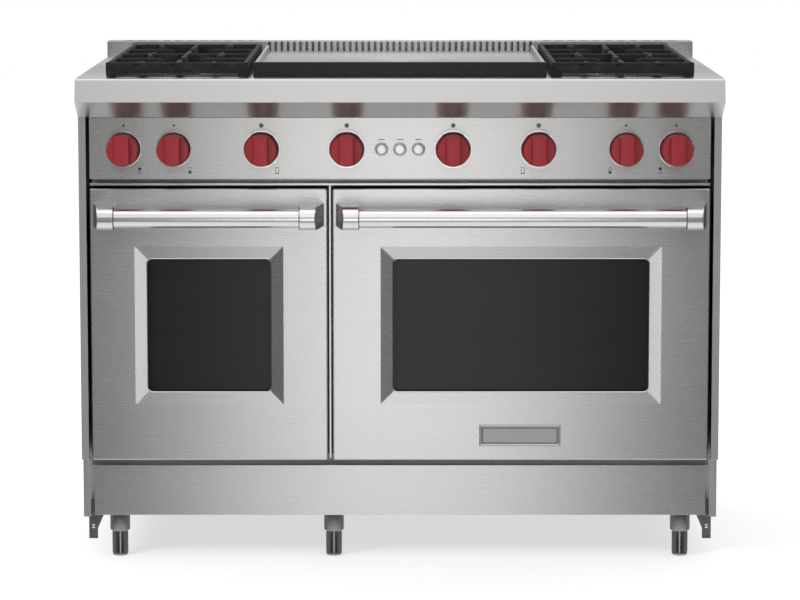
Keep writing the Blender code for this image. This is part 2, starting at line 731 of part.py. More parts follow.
def grate(name, sign):
    """A cast grate over two burners: a frame on four feet, a cross bar, ribs and fingers."""
    x = sign * GRATE_X
    left, right = x - GRATE_SPAN / 2, x + GRATE_SPAN / 2
    bar_z = (GRATE_TOP - BAR_HEIGHT, GRATE_TOP)
    foot_z = (DECK_TOP + GAP, GRATE_TOP)
    middle = sum(BURNERS) / 2
    boxes = [
        ((left, right), (GRATE_FRONT, GRATE_FRONT + BAR), bar_z),
        ((left, right), (GRATE_BACK - BAR, GRATE_BACK), bar_z),
        ((left, left + BAR), (GRATE_FRONT, GRATE_BACK), bar_z),
        ((right - BAR, right), (GRATE_FRONT, GRATE_BACK), bar_z),
        ((left, right), (middle - BAR / 2, middle + BAR / 2), bar_z),
    ]
    for foot_x in ((left, left + GRATE_FOOT), (right - GRATE_FOOT, right)):
        boxes.append((foot_x, (GRATE_FRONT, GRATE_FRONT + BAR), foot_z))
        boxes.append((foot_x, (GRATE_BACK - BAR, GRATE_BACK), foot_z))
    centre = (x - BAR / 2, x + BAR / 2)
    boxes.append((centre, (GRATE_FRONT, BURNERS[0] - FINGER_GAP), bar_z))
    boxes.append((centre, (BURNERS[0] + FINGER_GAP, BURNERS[1] - FINGER_GAP), bar_z))
    boxes.append((centre, (BURNERS[1] + FINGER_GAP, GRATE_BACK), bar_z))
    for depth in BURNERS:
        across = (depth - BAR / 2, depth + BAR / 2)
        boxes.append(((left, x - FINGER_GAP), across, bar_z))
        boxes.append(((x + FINGER_GAP, right), across, bar_z))
    for offset in (-RIB_OFFSET, RIB_OFFSET):
        rib = (x + offset - BAR / 2, x + offset + BAR / 2)
        boxes.append((rib, (GRATE_FRONT, GRATE_FRONT + RIB_REACH), bar_z))
        boxes.append((rib, (middle - RIB_REACH, middle + RIB_REACH), bar_z))
        boxes.append((rib, (GRATE_BACK - RIB_REACH, GRATE_BACK), bar_z))
    obj = lattice(name, "cast_iron", boxes)
    set_origin(obj, x, middle, DECK_TOP)


def griddle_plate():
    """The griddle, walled at the front and the sides and nearly level with its floor at the back."""
    half, near = GRIDDLE_HALF - GRIDDLE_PLAY, GRATE_FRONT + TRAY_DEPTH + GRIDDLE_PLAY
    edge = (-half, half, near, GRATE_BACK)
    outer = round_rect(*edge, GRIDDLE_RADIUS)
    inner = round_rect(*edge, GRIDDLE_RADIUS - GRIDDLE_WALL / 3, GRIDDLE_WALL)
    foot_z, rim_z, floor_z = DECK_TOP + GAP, DECK_TOP + GRIDDLE_RISE, DECK_TOP + GRIDDLE_FLOOR
    plate = piece("griddle_plate", "griddle_steel", tray(level, outer, inner, foot_z, rim_z, floor_z))
    back_wall = (GRATE_BACK - 2 * GRIDDLE_WALL, GRATE_BACK + PLAY)
    inside = half - GRIDDLE_WALL
    cut(plate, block((-inside, inside), back_wall, (floor_z + GRIDDLE_SILL, rim_z + PLAY)))


def griddle_tray():
    """The black trough along the griddle's front, which lifts out."""
    edge = (-GRIDDLE_HALF, GRIDDLE_HALF, GRATE_FRONT, GRATE_FRONT + TRAY_DEPTH)
    foot_z = DECK_TOP + GAP
    rings = tray(level, rect(*edge), rect(*edge, TRAY_WALL), foot_z, GRATE_TOP, foot_z + TRAY_FLOOR)
    obj = piece("griddle_tray", "black_enamel", rings)
    set_origin(obj, 0.0, GRATE_FRONT + TRAY_DEPTH / 2, foot_z)


def backguard():
    """The low guard behind the cooktop, with slots wrapped over its front edge and vents along its top."""
    half, foot_z, top = HALF - GUARD_SIDE, DECK_TOP - SKIRT + GAP, DECK_TOP + GUARD_RISE
    edge = (-half, half, GUARD_FRONT, DEPTH)
    rings = tray(level, rect(*edge), rect(*edge, GUARD_SHEET), top, foot_z, top - GUARD_SHEET)
    guard = piece("backguard", "stainless", rings)
    slots = []
    reach = (SLOT_COUNT - 1) * SLOT_PITCH / 2
    for index in range(SLOT_COUNT):
        x = index * SLOT_PITCH - reach
        r = SLOT_WIDTH / 2
        above = top + PLAY
        outline = [(x + r, above), (x - r, above)] + arc(x, top - SLOT_HEIGHT + r, r, 180, 360, 2)
        slots.append([front(outline, depth) for depth in (GUARD_FRONT - PLAY, GUARD_FRONT + SLOT_RUN)])
    cut(guard, *slots)
    start = reach + SLOT_PITCH + VENT_MARGIN
    vents = []
    near = DEPTH - VENT_WIDTH - VENT_INSET
    for index in range(int((half - VENT_MARGIN - start) / VENT_PITCH)):
        for sign in (-1, 1):
            x = sign * (start + (index + 0.5) * VENT_PITCH)
            across = (x - VENT_LENGTH / 2, x + VENT_LENGTH / 2)
            outline = round_rect(*across, near, near + VENT_WIDTH, VENT_RADIUS, steps=1)
            vents.append([level(outline, z) for z in (top - 2 * GUARD_SHEET, top + GUARD_SHEET)])
    cut(guard, *vents)
    return guard


# Controls
def control_panel():
    edge = (-DOOR_EDGE, DOOR_EDGE, PANEL_BOTTOM, PANEL_TOP)
    face = PANEL_FACE
    panel = piece(
        "control_panel",
        "stainless",
        tray(front, rect(*edge), rect(*edge, PANEL_SHEET), face, face + PANEL_DEPTH, face + PANEL_SHEET),
    )
    through = (face - PANEL_SHEET, face + 2 * PANEL_SHEET)
    holes = [rod_y(x, through, CONTROL_Z, SHAFT_RADIUS + 3 * PLAY, 12) for x in KNOBS]
    holes += [rod_y(x, through, CONTROL_Z, BUTTON_RADIUS + PLAY) for x in button_places()]
    cut(panel, *holes)
    return panel


def button_places():
    return [step * BUTTON_PITCH for step in (-1, 0, 1)]


def knob(number, x):
    """A deep round knob with a grip bar across its face, and the shaft that turns its valve."""
    seat = PANEL_FACE - KNOB_SEAT
    face = PANEL_FACE - KNOB_SEAT - KNOB_SKIRT
    nose = PANEL_FACE - KNOB_REACH
    profile = (
        (seat, KNOB_RADIUS - KNOB_TAPER),
        (face + GRIP_DRAFT, KNOB_RADIUS),
        (face, KNOB_RADIUS - GRIP_DRAFT),
    )
    obj = piece(f"knob_{number}", "knob_red", turned_y(x, CONTROL_Z, profile, 28), smooth=True)
    half, up = GRIP_WIDTH / 2, GRIP_LENGTH / 2
    limits = (x - half, x + half, CONTROL_Z - up, CONTROL_Z + up)
    draft = GRIP_DRAFT
    grip = []
    for depth, inset in ((face + 2 * draft, 0.0), (nose + 2 * draft, draft), (nose, 3 * draft)):
        grip.append(front(round_rect(*limits, GRIP_RADIUS - inset / 2, inset, 2), depth))
    fuse(obj, grip)
    fuse(obj, rod_y(x, (face + 3 * GRIP_DRAFT, seat + SHAFT_LENGTH), CONTROL_Z, SHAFT_RADIUS, 12))
    set_origin(obj, x, PANEL_FACE, CONTROL_Z)


def button(name, x):
    nose = PANEL_FACE - BUTTON_REACH
    collar = PANEL_FACE + PANEL_SHEET + BUTTON_SLACK
    profile = (
        (nose, BUTTON_RADIUS - BUTTON_EDGE),
        (nose + BUTTON_EDGE, BUTTON_RADIUS),
        (collar, BUTTON_RADIUS),
        (collar, BUTTON_COLLAR),
        (collar + 2 * BUTTON_EDGE, BUTTON_COLLAR),
    )
    obj = piece(name, "chrome", turned_y(x, CONTROL_Z, profile, 16), smooth=True)
    set_origin(obj, x, PANEL_FACE, CONTROL_Z)


def gas_manifold():
    """The gas rail behind the panel, a valve for each knob, and the pipe to the inlet at the back."""
    inlet = HALF - INLET_INSET
    rail = rod_x((-inlet, inlet), MANIFOLD_SETBACK, CONTROL_Z, MANIFOLD_RADIUS)
    pipe = piece("gas_manifold", "brass", rail)
    run = (MANIFOLD_SETBACK, DEPTH - 4 * PLAY)
    fuse(pipe, rod_y(inlet, run, CONTROL_Z, MANIFOLD_RADIUS - 2 * PLAY))
    near = PANEL_FACE + PANEL_DEPTH + VALVE_CLEARANCE
    body = (near, MANIFOLD_SETBACK + VALVE_BACK)
    height = (CONTROL_Z - VALVE_HEIGHT / 2, CONTROL_Z + VALVE_HEIGHT / 2)
    valves = []
    bores = []
    for x in KNOBS:
        valves.append(block((x - VALVE_WIDTH / 2, x + VALVE_WIDTH / 2), body, height))
        bore = (near - PLAY, PANEL_FACE + SHAFT_LENGTH)
        bores.append(rod_y(x, bore, CONTROL_Z, SHAFT_RADIUS + PLAY, 12))
    fuse(pipe, *valves)
    cut(pipe, *bores)
    return pipe


# Ovens
def cavity_limits(size):
    left, right = DOORS[size]
    return (left + CAVITY_SIDE, right - CAVITY_SIDE, OVEN_FOOT + CAVITY_FOOT, OVEN_HEAD - CAVITY_HEADROOM)


def oven_liner(size):
    """The oven's enamelled box, its front flange and the rails that its rack slides on."""
    left, right = DOORS[size]
    reach = DOOR_SIDE_GAP - OVEN_DROP
    edges = {"small": (left - reach, MULLION_X - OVEN_DROP), "large": (MULLION_X + OVEN_DROP, right + reach)}
    flange = rect(*edges[size], OVEN_FOOT, OVEN_HEAD)
    limits = cavity_limits(size)
    mouth = round_rect(*limits, CAVITY_RADIUS)
    shell = round_rect(*limits, CAVITY_RADIUS, -LINER_WALL)
    corners = round_rect(*edges[size], OVEN_FOOT, OVEN_HEAD, OVEN_DROP)
    rings = [
        front(mouth, CAVITY_BACK),
        front(mouth, OVEN_SETBACK),
        front(corners, OVEN_SETBACK),
        front(corners, OVEN_SETBACK + OVEN_FLANGE),
        front(shell, OVEN_SETBACK + OVEN_FLANGE),
        front(shell, CAVITY_BACK + LINER_WALL),
    ]
    liner = piece(f"{size}_oven_liner", "oven_enamel", rings)
    rails = []
    for height in RAIL_LEVELS:
        z = limits[2] + height
        for wall, inward in ((limits[0], 1), (limits[1], -1)):
            x = sorted((wall - inward * LINER_WALL / 2, wall + inward * RACK_RAIL))
            rails.append(block(x, (OVEN_SETBACK + RACK_FRONT, CAVITY_BACK - RACK_BACK), (z, z + RAIL_HEIGHT)))
    fuse(liner, *rails)
    slots = []
    for a, b in tongue_places():
        if flange[0][0] < a < flange[1][0]:
            room = 2 * PLAY
            z = (OVEN_FOOT - room, HINGE_Z + TONGUE_HEIGHT / 2 + room)
            depth = (OVEN_SETBACK - room, OVEN_SETBACK + OVEN_FLANGE + room)
            slots.append(block((a - room, b + room), depth, z))
    cut(liner, *slots)
    return liner


def oven_rack(size):
    """A wire shelf: a frame, wires front to back, and two cross wires under them."""
    x0, x1, z0, _ = cavity_limits(size)
    x0, x1 = x0 + RACK_PLAY, x1 - RACK_PLAY
    near, far = OVEN_SETBACK + RACK_FRONT, CAVITY_BACK - RACK_BACK
    z = z0 + RAIL_LEVELS[RACK_LEVEL] + RAIL_HEIGHT + GAP
    wire, upper = (z, z + RACK_WIRE), (z + RACK_UPPER, z + RACK_UPPER + RACK_WIRE)
    boxes = [
        ((x0, x0 + RACK_WIRE), (near, far), wire),
        ((x1 - RACK_WIRE, x1), (near, far), wire),
        ((x0, x1), (near, near + RACK_WIRE), wire),
        ((x0, x1), (far - RACK_WIRE, far), wire),
        ((x0, x1), ((near + far) / 2, (near + far) / 2 + RACK_WIRE), wire),
    ]
    count = round((x1 - x0) / RACK_PITCH)
    for index in range(1, count):
        x = x0 + (x1 - x0) * index / count
        boxes.append(((x - 0.4 * RACK_WIRE, x + 0.4 * RACK_WIRE), (near, far), upper))
    obj = lattice(f"{size}_oven_rack", "wire", boxes)
    set_origin(obj, (x0 + x1) / 2, near, z)


def fan_wheel():
    """The convection fan at the back of the large oven."""
    x0, x1, z0, z1 = cavity_limits("large")
    x, z = (x0 + x1) / 2, (z0 + z1) / 2
    back = CAVITY_BACK - 2 * PLAY
    front_edge = back - FAN_DEPTH
    disc = back - SHEET
    profile = ((back, FAN_RADIUS), (disc, FAN_RADIUS), (disc, FAN_HUB), (front_edge, FAN_HUB))
    wheel = piece("fan_wheel", "wire", turned_y(x, z, profile), smooth=True)
    blades = []
    for index in range(FAN_BLADES):
        turn = 2 * math.pi * index / FAN_BLADES
        outline = []
        for along, across in rect(FAN_HUB - FAN_BLADE, FAN_RADIUS - FAN_BLADE, -FAN_BLADE / 2, FAN_BLADE / 2):
            u = along * math.cos(turn) - across * math.sin(turn)
            v = along * math.sin(turn) + across * math.cos(turn)
            outline.append((x + u, z + v))
        blades.append([front(outline, depth) for depth in (back - SHEET / 2, front_edge + FAN_BLADE)])
    fuse(wheel, *blades)
    set_origin(wheel, x, back, z)


# Doors
def window_limits(size):
    left, right = DOORS[size]
    margin = WINDOW_SIDE[size]
    return (left + margin, right - margin, DOOR_BOTTOM + WINDOW_FOOT, DOOR_TOP - WINDOW_TOP)


def glass_outline(size, grow=0.0):
    return round_rect(*window_limits(size), GLASS_RADIUS + grow, BEVEL_WIDTH - grow)


def on_bevel(size, grow=0.0, behind=0.0):
    """The glass's outline laid on the bevelled frame, which sinks evenly from its four straight edges."""
    left, right, low, high = window_limits(size)
    points = []
    for x, z in glass_outline(size, grow):
        inward = min(x - left, right - x, z - low, high - z)
        depth = DOOR_FACE + BEVEL_DEPTH * inward / BEVEL_WIDTH + behind
        points.append(Vector((x, at_depth(depth), z)))
    return points


def door_skin(size, hinge):
    """The stainless front: a shallow pan with a bevelled frame sunk around the window."""
    edge = (*DOORS[size], DOOR_BOTTOM, DOOR_TOP)
    face, back, t = DOOR_FACE, DOOR_FACE + SKIN_DEPTH, SHEET
    window = round_rect(*window_limits(size), WINDOW_RADIUS)
    window_back = round_rect(*window_limits(size), WINDOW_RADIUS + t / 2, -t / 2)
    rings = [
        front(round_rect(*edge, DOOR_RADIUS), back),
        front(round_rect(*edge, DOOR_RADIUS), face + SKIN_EDGE),
        front(round_rect(*edge, DOOR_RADIUS - SKIN_EDGE, SKIN_EDGE), face),
        front(window, face),
        on_bevel(size),
        front(glass_outline(size), back + 2 * t),
        front(glass_outline(size, t), back + 2 * t),
        on_bevel(size, t, t),
        front(window_back, face + t),
        front(round_rect(*edge, DOOR_RADIUS - t, t), face + t),
        front(round_rect(*edge, DOOR_RADIUS - t, t), back),
    ]
    obj = piece(f"{size}_door_skin", "stainless", rings, closed=True)
    place_on_hinge(obj, hinge)


def door_glass(size, hinge):
    near = DOOR_FACE + SKIN_DEPTH + 2 * SHEET + GAP
    outline = glass_outline(size, GLASS_LAP)
    rings = [front(outline, depth) for depth in (near, near + GLASS_THICKNESS)]
    obj = piece(f"{size}_door_glass", "door_glass", rings)
    place_on_hinge(obj, hinge)


def door_liner(size, hinge):
    """The hollow pan at the back of the door, notched for the hinges, with a pin in each notch."""
    left, right = DOORS[size][0] + LINER_INSET, DOORS[size][1] - LINER_INSET
    foot_z, head_z = DOOR_BOTTOM + LINER_INSET, DOOR_TOP - LINER_INSET
    edge = (left, right, foot_z, head_z)
    near, back, t = DOOR_FACE + SKIN_DEPTH + GAP, DOOR_BACK, LINER_WALL
    seat = DOOR_FACE + SKIN_DEPTH + 2 * SHEET + 2 * GAP + GLASS_THICKNESS
    wide = GLASS_LAP + PLAY
    rings = [
        front(round_rect(*edge, LINER_RADIUS), near),
        front(round_rect(*edge, LINER_RADIUS), back - t),
        front(round_rect(*edge, LINER_RADIUS, t), back),
        front(glass_outline(size), back),
        front(glass_outline(size), seat),
        front(glass_outline(size, wide), seat),
        front(glass_outline(size, wide), near),
        front(glass_outline(size, wide + t), near),
        front(glass_outline(size, wide + t), seat + t),
        front(glass_outline(size, t), seat + t),
        front(glass_outline(size, t), back - t),
        front(round_rect(*edge, LINER_RADIUS - t / 2, t), back - t),
        front(round_rect(*edge, LINER_RADIUS - t / 2, t), near),
    ]
    obj = piece(f"{size}_door_liner", "black_enamel", rings, closed=True)
    notch_top = foot_z + HINGE_NOTCH_TOP
    blocks, notches, pins = [], [], []
    for edge_x, inward in ((left, 1), (right, -1)):
        inner = edge_x + inward * HINGE_NOTCH
        across = sorted((edge_x + inward * LINER_WALL / 2, inner + inward * HINGE_BLOCK))
        blocks.append(block(across, (near + PLAY, back - t / 2), (foot_z + t / 2, notch_top + t)))
        across = sorted((edge_x - inward * PLAY, inner))
        notches.append(block(across, (near - PLAY, back + PLAY), (foot_z - PLAY, notch_top)))
        across = sorted((edge_x + inward * LINER_PIN_INSET, inner + inward * 2 * t))
        pins.append(rod_x(across, HINGE_DEPTH, HINGE_Z, PIN_RADIUS, 12))
    fuse(obj, *blocks)
    cut(obj, *notches)
    fuse(obj, *pins)
    place_on_hinge(obj, hinge)


def handle_limits(size):
    """Where the fronts of the handle's two brackets start and stop, each from its outer end."""
    inset = POST_INSET + POST_FLARE
    left, right = DOORS[size][0] + inset, DOORS[size][1] - inset
    return (left, left + FERRULE_LENGTH), (right, right - FERRULE_LENGTH)


def handle_line():
    """Depth and height of the handle's centre line."""
    return FERRULE_RADIUS - HANDLE_REACH, DOOR_TOP - HANDLE_DROP


def handle_bar(size, hinge):
    depth, z = handle_line()
    (left, _), (right, _) = handle_limits(size)
    ends = (left + FERRULE_CAP + GAP, right - FERRULE_CAP - GAP)
    obj = piece(f"{size}_handle_bar", "stainless", rod_x(ends, depth, z, HANDLE_RADIUS, 32), smooth=True)
    place_on_hinge(obj, hinge)


def handle_post(size, end, hinge):
    """An end bracket: a sleeve around the bar that runs back to the door, its outer end leaning out."""
    line, z = handle_line()
    outer, inner = handle_limits(size)[end]
    out = 1 if outer > inner else -1
    nose, foot_depth = line - FERRULE_RADIUS, DOOR_FACE - GAP
    section = [(foot_depth, z + FERRULE_RADIUS)]
    section += arc(line, z, FERRULE_RADIUS, 90, 270, 16)
    section += [(foot_depth, z - FERRULE_RADIUS)]
    leaning = []
    for depth, height in section:
        x = outer + out * POST_FLARE * (depth - nose) / (foot_depth - nose)
        leaning.append(Vector((x, at_depth(depth), height)))
    name = f"{size}_handle_post_{('left', 'right')[end]}"
    obj = piece(name, "stainless", [side(section, inner), leaning], smooth=True)
    bore = sorted((inner - out * PLAY, outer - out * FERRULE_CAP))
    cut(obj, rod_x(bore, line, z, HANDLE_RADIUS + GAP, 32))
    place_on_hinge(obj, hinge)


def hinge_empty(size):
    empty = bpy.data.objects.new(f"{size}_door_hinge", None)
    bpy.context.scene.collection.objects.link(empty)
    empty.location = (sum(DOORS[size]) / 2, at_depth(HINGE_DEPTH), HINGE_Z)
    return empty


def place_on_hinge(obj, hinge):
    set_origin(obj, sum(DOORS[obj.name.split("_")[0]]) / 2, HINGE_DEPTH, HINGE_Z, hinge)


def main():
    for obj in list(bpy.data.objects):
        bpy.data.objects.remove(obj, do_unlink=True)
    for sign, word in ((-1, "left"), (1, "right")):
        side_panel(f"{word}_side_panel", sign)
        kick_bracket(f"kick_bracket_{word}", sign)
        burner_pan(f"burner_pan_{word}", sign)
        grate(f"grate_{word}", sign)
    back_panel()
    base_pan()
    front_frame()
    kick_panel()
    cooktop_deck()
    griddle_plate()
    griddle_tray()
    backguard()
    control_panel()
    gas_manifold()
    for number, (x, depth) in enumerate(itertools.product((-GRATE_X, GRATE_X), BURNERS), start=1):
        burner(number, x, depth)
    for number, x in enumerate(KNOBS, start=1):
        knob(number, x)
    for name, x in zip(("light_button", "fan_button", "clean_button"), button_places()):
        button(name, x)
    for number, (x, depth) in enumerate(leg_places(), start=1):
        foot(f"foot_{number}", x, depth)
    for size in DOORS:
        oven_liner(size)
        oven_rack(size)
        hinge = hinge_empty(size)
        door_skin(size, hinge)
        door_glass(size, hinge)
        door_liner(size, hinge)
        handle_bar(size, hinge)
        handle_post(size, 0, hinge)
        handle_post(size, 1, hinge)
    fan_wheel()


main()
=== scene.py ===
# %% [markdown]
# # A wide gas range with a griddle
# The working model of the range is already there: sheet-metal boxes, doors on hinges, knobs on shafts.
# This script gives it its looks. Parts whose shape is right are copied and get rounded folds and a finish.
# Parts that show curves or castings close up are made again in finer mesh code, on the same body.

# %% Load the working model
import json
from math import asin, atan2, cos, pi, radians, sin, sqrt

import bmesh
import bpy
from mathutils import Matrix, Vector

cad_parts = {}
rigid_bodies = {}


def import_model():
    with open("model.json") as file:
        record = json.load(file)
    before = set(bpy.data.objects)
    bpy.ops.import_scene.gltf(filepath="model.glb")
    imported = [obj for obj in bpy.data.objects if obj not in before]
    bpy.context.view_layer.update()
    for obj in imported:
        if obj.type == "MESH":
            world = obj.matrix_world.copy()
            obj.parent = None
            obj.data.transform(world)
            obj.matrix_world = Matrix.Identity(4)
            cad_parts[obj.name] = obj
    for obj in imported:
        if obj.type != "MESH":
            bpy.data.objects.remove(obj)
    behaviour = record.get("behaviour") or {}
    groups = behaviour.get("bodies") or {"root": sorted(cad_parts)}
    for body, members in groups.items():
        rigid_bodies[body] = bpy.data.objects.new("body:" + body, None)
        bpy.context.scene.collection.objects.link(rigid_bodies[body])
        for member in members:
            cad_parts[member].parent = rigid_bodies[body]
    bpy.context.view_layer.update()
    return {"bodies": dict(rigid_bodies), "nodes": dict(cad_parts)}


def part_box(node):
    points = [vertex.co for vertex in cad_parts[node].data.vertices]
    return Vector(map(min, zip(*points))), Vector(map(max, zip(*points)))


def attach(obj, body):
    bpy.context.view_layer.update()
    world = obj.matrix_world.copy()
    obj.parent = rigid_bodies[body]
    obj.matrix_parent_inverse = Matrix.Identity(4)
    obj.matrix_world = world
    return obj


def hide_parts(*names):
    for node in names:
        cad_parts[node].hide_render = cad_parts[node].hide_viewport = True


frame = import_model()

nodes = frame["nodes"]

# %% [markdown]
# ## Camera
# A range stands against a wall and is looked at from the front, from a little above the cooktop. A long lens
# from six metres away keeps the doors square. The camera leans down by about seven degrees and its lens is
# shifted a little, which keeps the upright edges nearly upright.

# %% Camera
def look_from(place, lean, lens, shift):
    """A camera that faces the range and leans down by `lean` degrees."""
    data = bpy.data.cameras.new("camera")
    data.lens = lens
    data.sensor_width = 36.0
    data.shift_y = shift
    data.clip_end = 60.0
    camera = bpy.data.objects.new("camera", data)
    camera.location = place
    camera.rotation_euler = (radians(90.0 - lean), 0.0, 0.0)
    bpy.context.scene.collection.objects.link(camera)
    bpy.context.scene.camera = camera


look_from(place=(0.0, -6.525, 1.339), lean=6.902, lens=148.83, shift=-0.05)
bpy.context.scene.view_settings.view_transform = "Standard"
print("camera placed")

# %% [markdown]
# ## Writing shaders as sums
# A node shader is a sum drawn as boxes and wires. A small class that wraps one socket lets the sum be written
# as Python instead: `0.3 + 0.1 * grain` adds a Multiply node and an Add node. Everything else, such as a
# texture or a ramp, comes from one method that takes the node's type, its settings and its sockets. The
# materials and the world around the range are made in the same way.

# %% Sockets with arithmetic
class Wire:
    """One output socket in a graph. Arithmetic on it adds Math nodes."""

    def __init__(self, graph, socket):
        self.graph = graph
        self.socket = socket

    def math(self, operation, *values):
        return self.graph.add("ShaderNodeMath", {"operation": operation}, dict(enumerate(values)))[0]

    def __add__(self, other):
        return self.math("ADD", self, other)

    def __sub__(self, other):
        return self.math("SUBTRACT", self, other)

    def __rsub__(self, other):
        return self.math("SUBTRACT", other, self)

    def __mul__(self, other):
        return self.math("MULTIPLY", self, other)

    def __lt__(self, other):
        return self.math("LESS_THAN", self, other)

    def __gt__(self, other):
        return self.math("GREATER_THAN", self, other)

    def __abs__(self):
        return self.math("ABSOLUTE", self)

    __radd__ = __add__
    __rmul__ = __mul__


class Outputs:
    """The outputs of one added node, by name or number."""

    def __init__(self, graph, node):
        self.graph = graph
        self.node = node

    def __getitem__(self, name):
        return Wire(self.graph, self.node.outputs[name])


class Graph:
    """A node tree being filled. `add` is the one way to add a node; the rest are short for common ones."""

    def __init__(self, tree):
        self.tree = tree
        self.tree.nodes.clear()

    def add(self, kind, settings=None, sockets=None):
        node = self.tree.nodes.new(kind)
        for name, value in (settings or {}).items():
            if name == "stops":
                self.set_stops(node.color_ramp.elements, value)
            else:
                setattr(node, name, value)
        for name, value in (sockets or {}).items():
            if isinstance(value, Wire):
                self.tree.links.new(value.socket, node.inputs[name])
            else:
                node.inputs[name].default_value = value
        return Outputs(self, node)

    def set_stops(self, elements, stops):
        while len(elements) < len(stops):
            elements.new(0.5)
        for element, (position, grey) in zip(elements, stops):
            element.position = position
            element.color = (grey, grey, grey, 1.0)

    def mix(self, mask, first, second):
        colours = [value if isinstance(value, Wire) else (*value, 1.0) for value in (first, second)]
        return self.add("ShaderNodeMix", {"data_type": "RGBA"}, {0: mask, 6: colours[0], 7: colours[1]})[2]

    def between(self, value, start, end, first, last, curve="LINEAR"):
        """A value that runs from `first` to `last` while the given one runs from `start` to `end`."""
        sockets = {"Value": value, "From Min": start, "From Max": end, "To Min": first, "To Max": last}
        return self.add("ShaderNodeMapRange", {"interpolation_type": curve}, sockets)["Result"]

    def apart(self, vector):
        return self.add("ShaderNodeSeparateXYZ", {}, {"Vector": vector})


print("operators ready on", Wire.__name__)

# %% [markdown]
# ## What every finish shares
# All the materials here start from a place on the object, read a few noises there, and end in one Principled
# shader. Putting those steps in a class leaves each finish as a handful of lines that say what it looks like.

# %% Finishes
class Finish(Graph):
    """A material being made."""

    def __init__(self, name):
        self.material = bpy.data.materials.new(name)
        self.material.use_nodes = True
        super().__init__(self.material.node_tree)
        self.place = self.add("ShaderNodeTexCoord")["Object"]

    def noise(self, scale, detail=2.0, rough=0.5):
        """Noise from 0 to 1. A scale of three numbers stretches it: a low one along X makes lines along X."""
        vector = self.place
        if isinstance(scale, tuple):
            vector = self.add("ShaderNodeMapping", {}, {"Vector": vector, "Scale": scale})["Vector"]
            scale = 1.0
        sockets = {"Vector": vector, "Scale": scale, "Detail": detail, "Roughness": rough}
        return self.add("ShaderNodeTexNoise", {}, sockets)["Fac"]

    def cells(self, scale, output):
        """A Voronoi pattern: the distance to the nearest centre, or one random colour in each cell."""
        return self.add("ShaderNodeTexVoronoi", {}, {"Vector": self.place, "Scale": scale})[output]

    def bump(self, height, depth, strength=1.0):
        """Normals from a height of 0 to 1 that stands for `depth` metres."""
        sockets = {"Height": height, "Distance": depth, "Strength": strength}
        return self.add("ShaderNodeBump", {}, sockets)["Normal"]

    def surface(self, **values):
        """The Principled shader. Names are its sockets' names with _ for a space."""
        sockets = {name.replace("_", " "): value for name, value in values.items()}
        return self.close(self.add("ShaderNodeBsdfPrincipled", {}, sockets)["BSDF"])

    def close(self, shader):
        """Leads a shader to the material's output."""
        self.add("ShaderNodeOutputMaterial", {}, {"Surface": shader})
        print("finish", self.material.name, "has", len(self.tree.nodes), "nodes")
        return self.material


print("finishes can be made")

# %% [markdown]
# ## Brushed stainless sheet
# Stainless sheet is rolled bright and then drawn under a belt, which leaves hair-fine scratches along its
# length. They spread a reflection across themselves, so a light seen in the sheet becomes a tall soft band.
# The shader's anisotropy makes that band, and stretched noise makes the lines that the eye can still see: a
# fine one for the scratches, a wide one for the streaks between belts, and a cloud for handling marks.

# %% Brushed stainless
STEEL = (0.66, 0.655, 0.645)
STEEL_SHADE = (0.625, 0.62, 0.61)


def brushed(name, along, light=STEEL, shade=STEEL_SHADE, rough=0.27, spread=0.75, depth=0.000006):
    finish = Finish(name)

    def lines(length, pitch):
        return tuple(1.0 / (length if axis == along else pitch) for axis in range(3))

    scratches = finish.noise(lines(0.060, 0.0009), 2.0, 0.7)
    streaks = finish.noise(lines(0.180, 0.0045), 2.0, 0.6)
    clouds = finish.noise(3.5, 3.0, 0.55)
    return finish.surface(
        Base_Color=finish.mix(0.55 * streaks + 0.30 * scratches + 0.15 * clouds, shade, light),
        Metallic=1.0,
        Roughness=rough - 0.04 + 0.03 * scratches + 0.02 * streaks + 0.03 * clouds,
        Anisotropic=spread,
        Anisotropic_Rotation=0.25,
        Normal=finish.bump(0.7 * scratches + 0.3 * streaks, depth),
    )


sheet = brushed("stainless_sheet", along=0)
deck_sheet = brushed("deck_sheet", along=0, rough=0.31, spread=0.7)
side_sheet = brushed("stainless_side_sheet", along=2, spread=0.3, light=(0.60, 0.597, 0.59), rough=0.33)
tube_steel = brushed("handle_tube_steel", along=0, light=(0.80, 0.795, 0.79), shade=(0.74, 0.735, 0.73),
                     rough=0.21, spread=0.3, depth=0.000008)
ground_plate = brushed("griddle_ground_plate", along=0, light=(0.60, 0.60, 0.59), shade=(0.46, 0.46, 0.45),
                       rough=0.36, spread=0.5, depth=0.00005)

# %% [markdown]
# ## Plain metals
# Chrome is plated and polished, so only faint swirls and a few dull specks break it. The legs are turned
# steel left dark, the back is galvanised sheet with its patchwork of zinc crystals, the burner heads are cast
# alloy, and the gas fittings are brass that has begun to tarnish.

# %% Plain metals
def polished(name, light, shade, rough, speck=0.0):
    finish = Finish(name)
    swirl = finish.noise(90.0, 3.0, 0.6)
    haze = finish.noise(22.0, 2.0, 0.5)
    return finish.surface(
        Base_Color=finish.mix(haze, shade, light),
        Metallic=1.0,
        Roughness=rough + 0.10 * swirl * haze + speck * (haze > 0.62),
        Normal=finish.bump(swirl, 0.00004, 0.4),
    )


def cast_alloy(name, light, shade, rough, grain=900.0, depth=0.00015):
    finish = Finish(name)
    sand = finish.noise(grain, 4.0, 0.7)
    stain = finish.noise(35.0, 3.0, 0.6)
    return finish.surface(
        Base_Color=finish.mix(stain, shade, light),
        Metallic=0.9,
        Roughness=rough + 0.15 * sand + 0.10 * stain,
        Normal=finish.bump(sand, depth),
    )


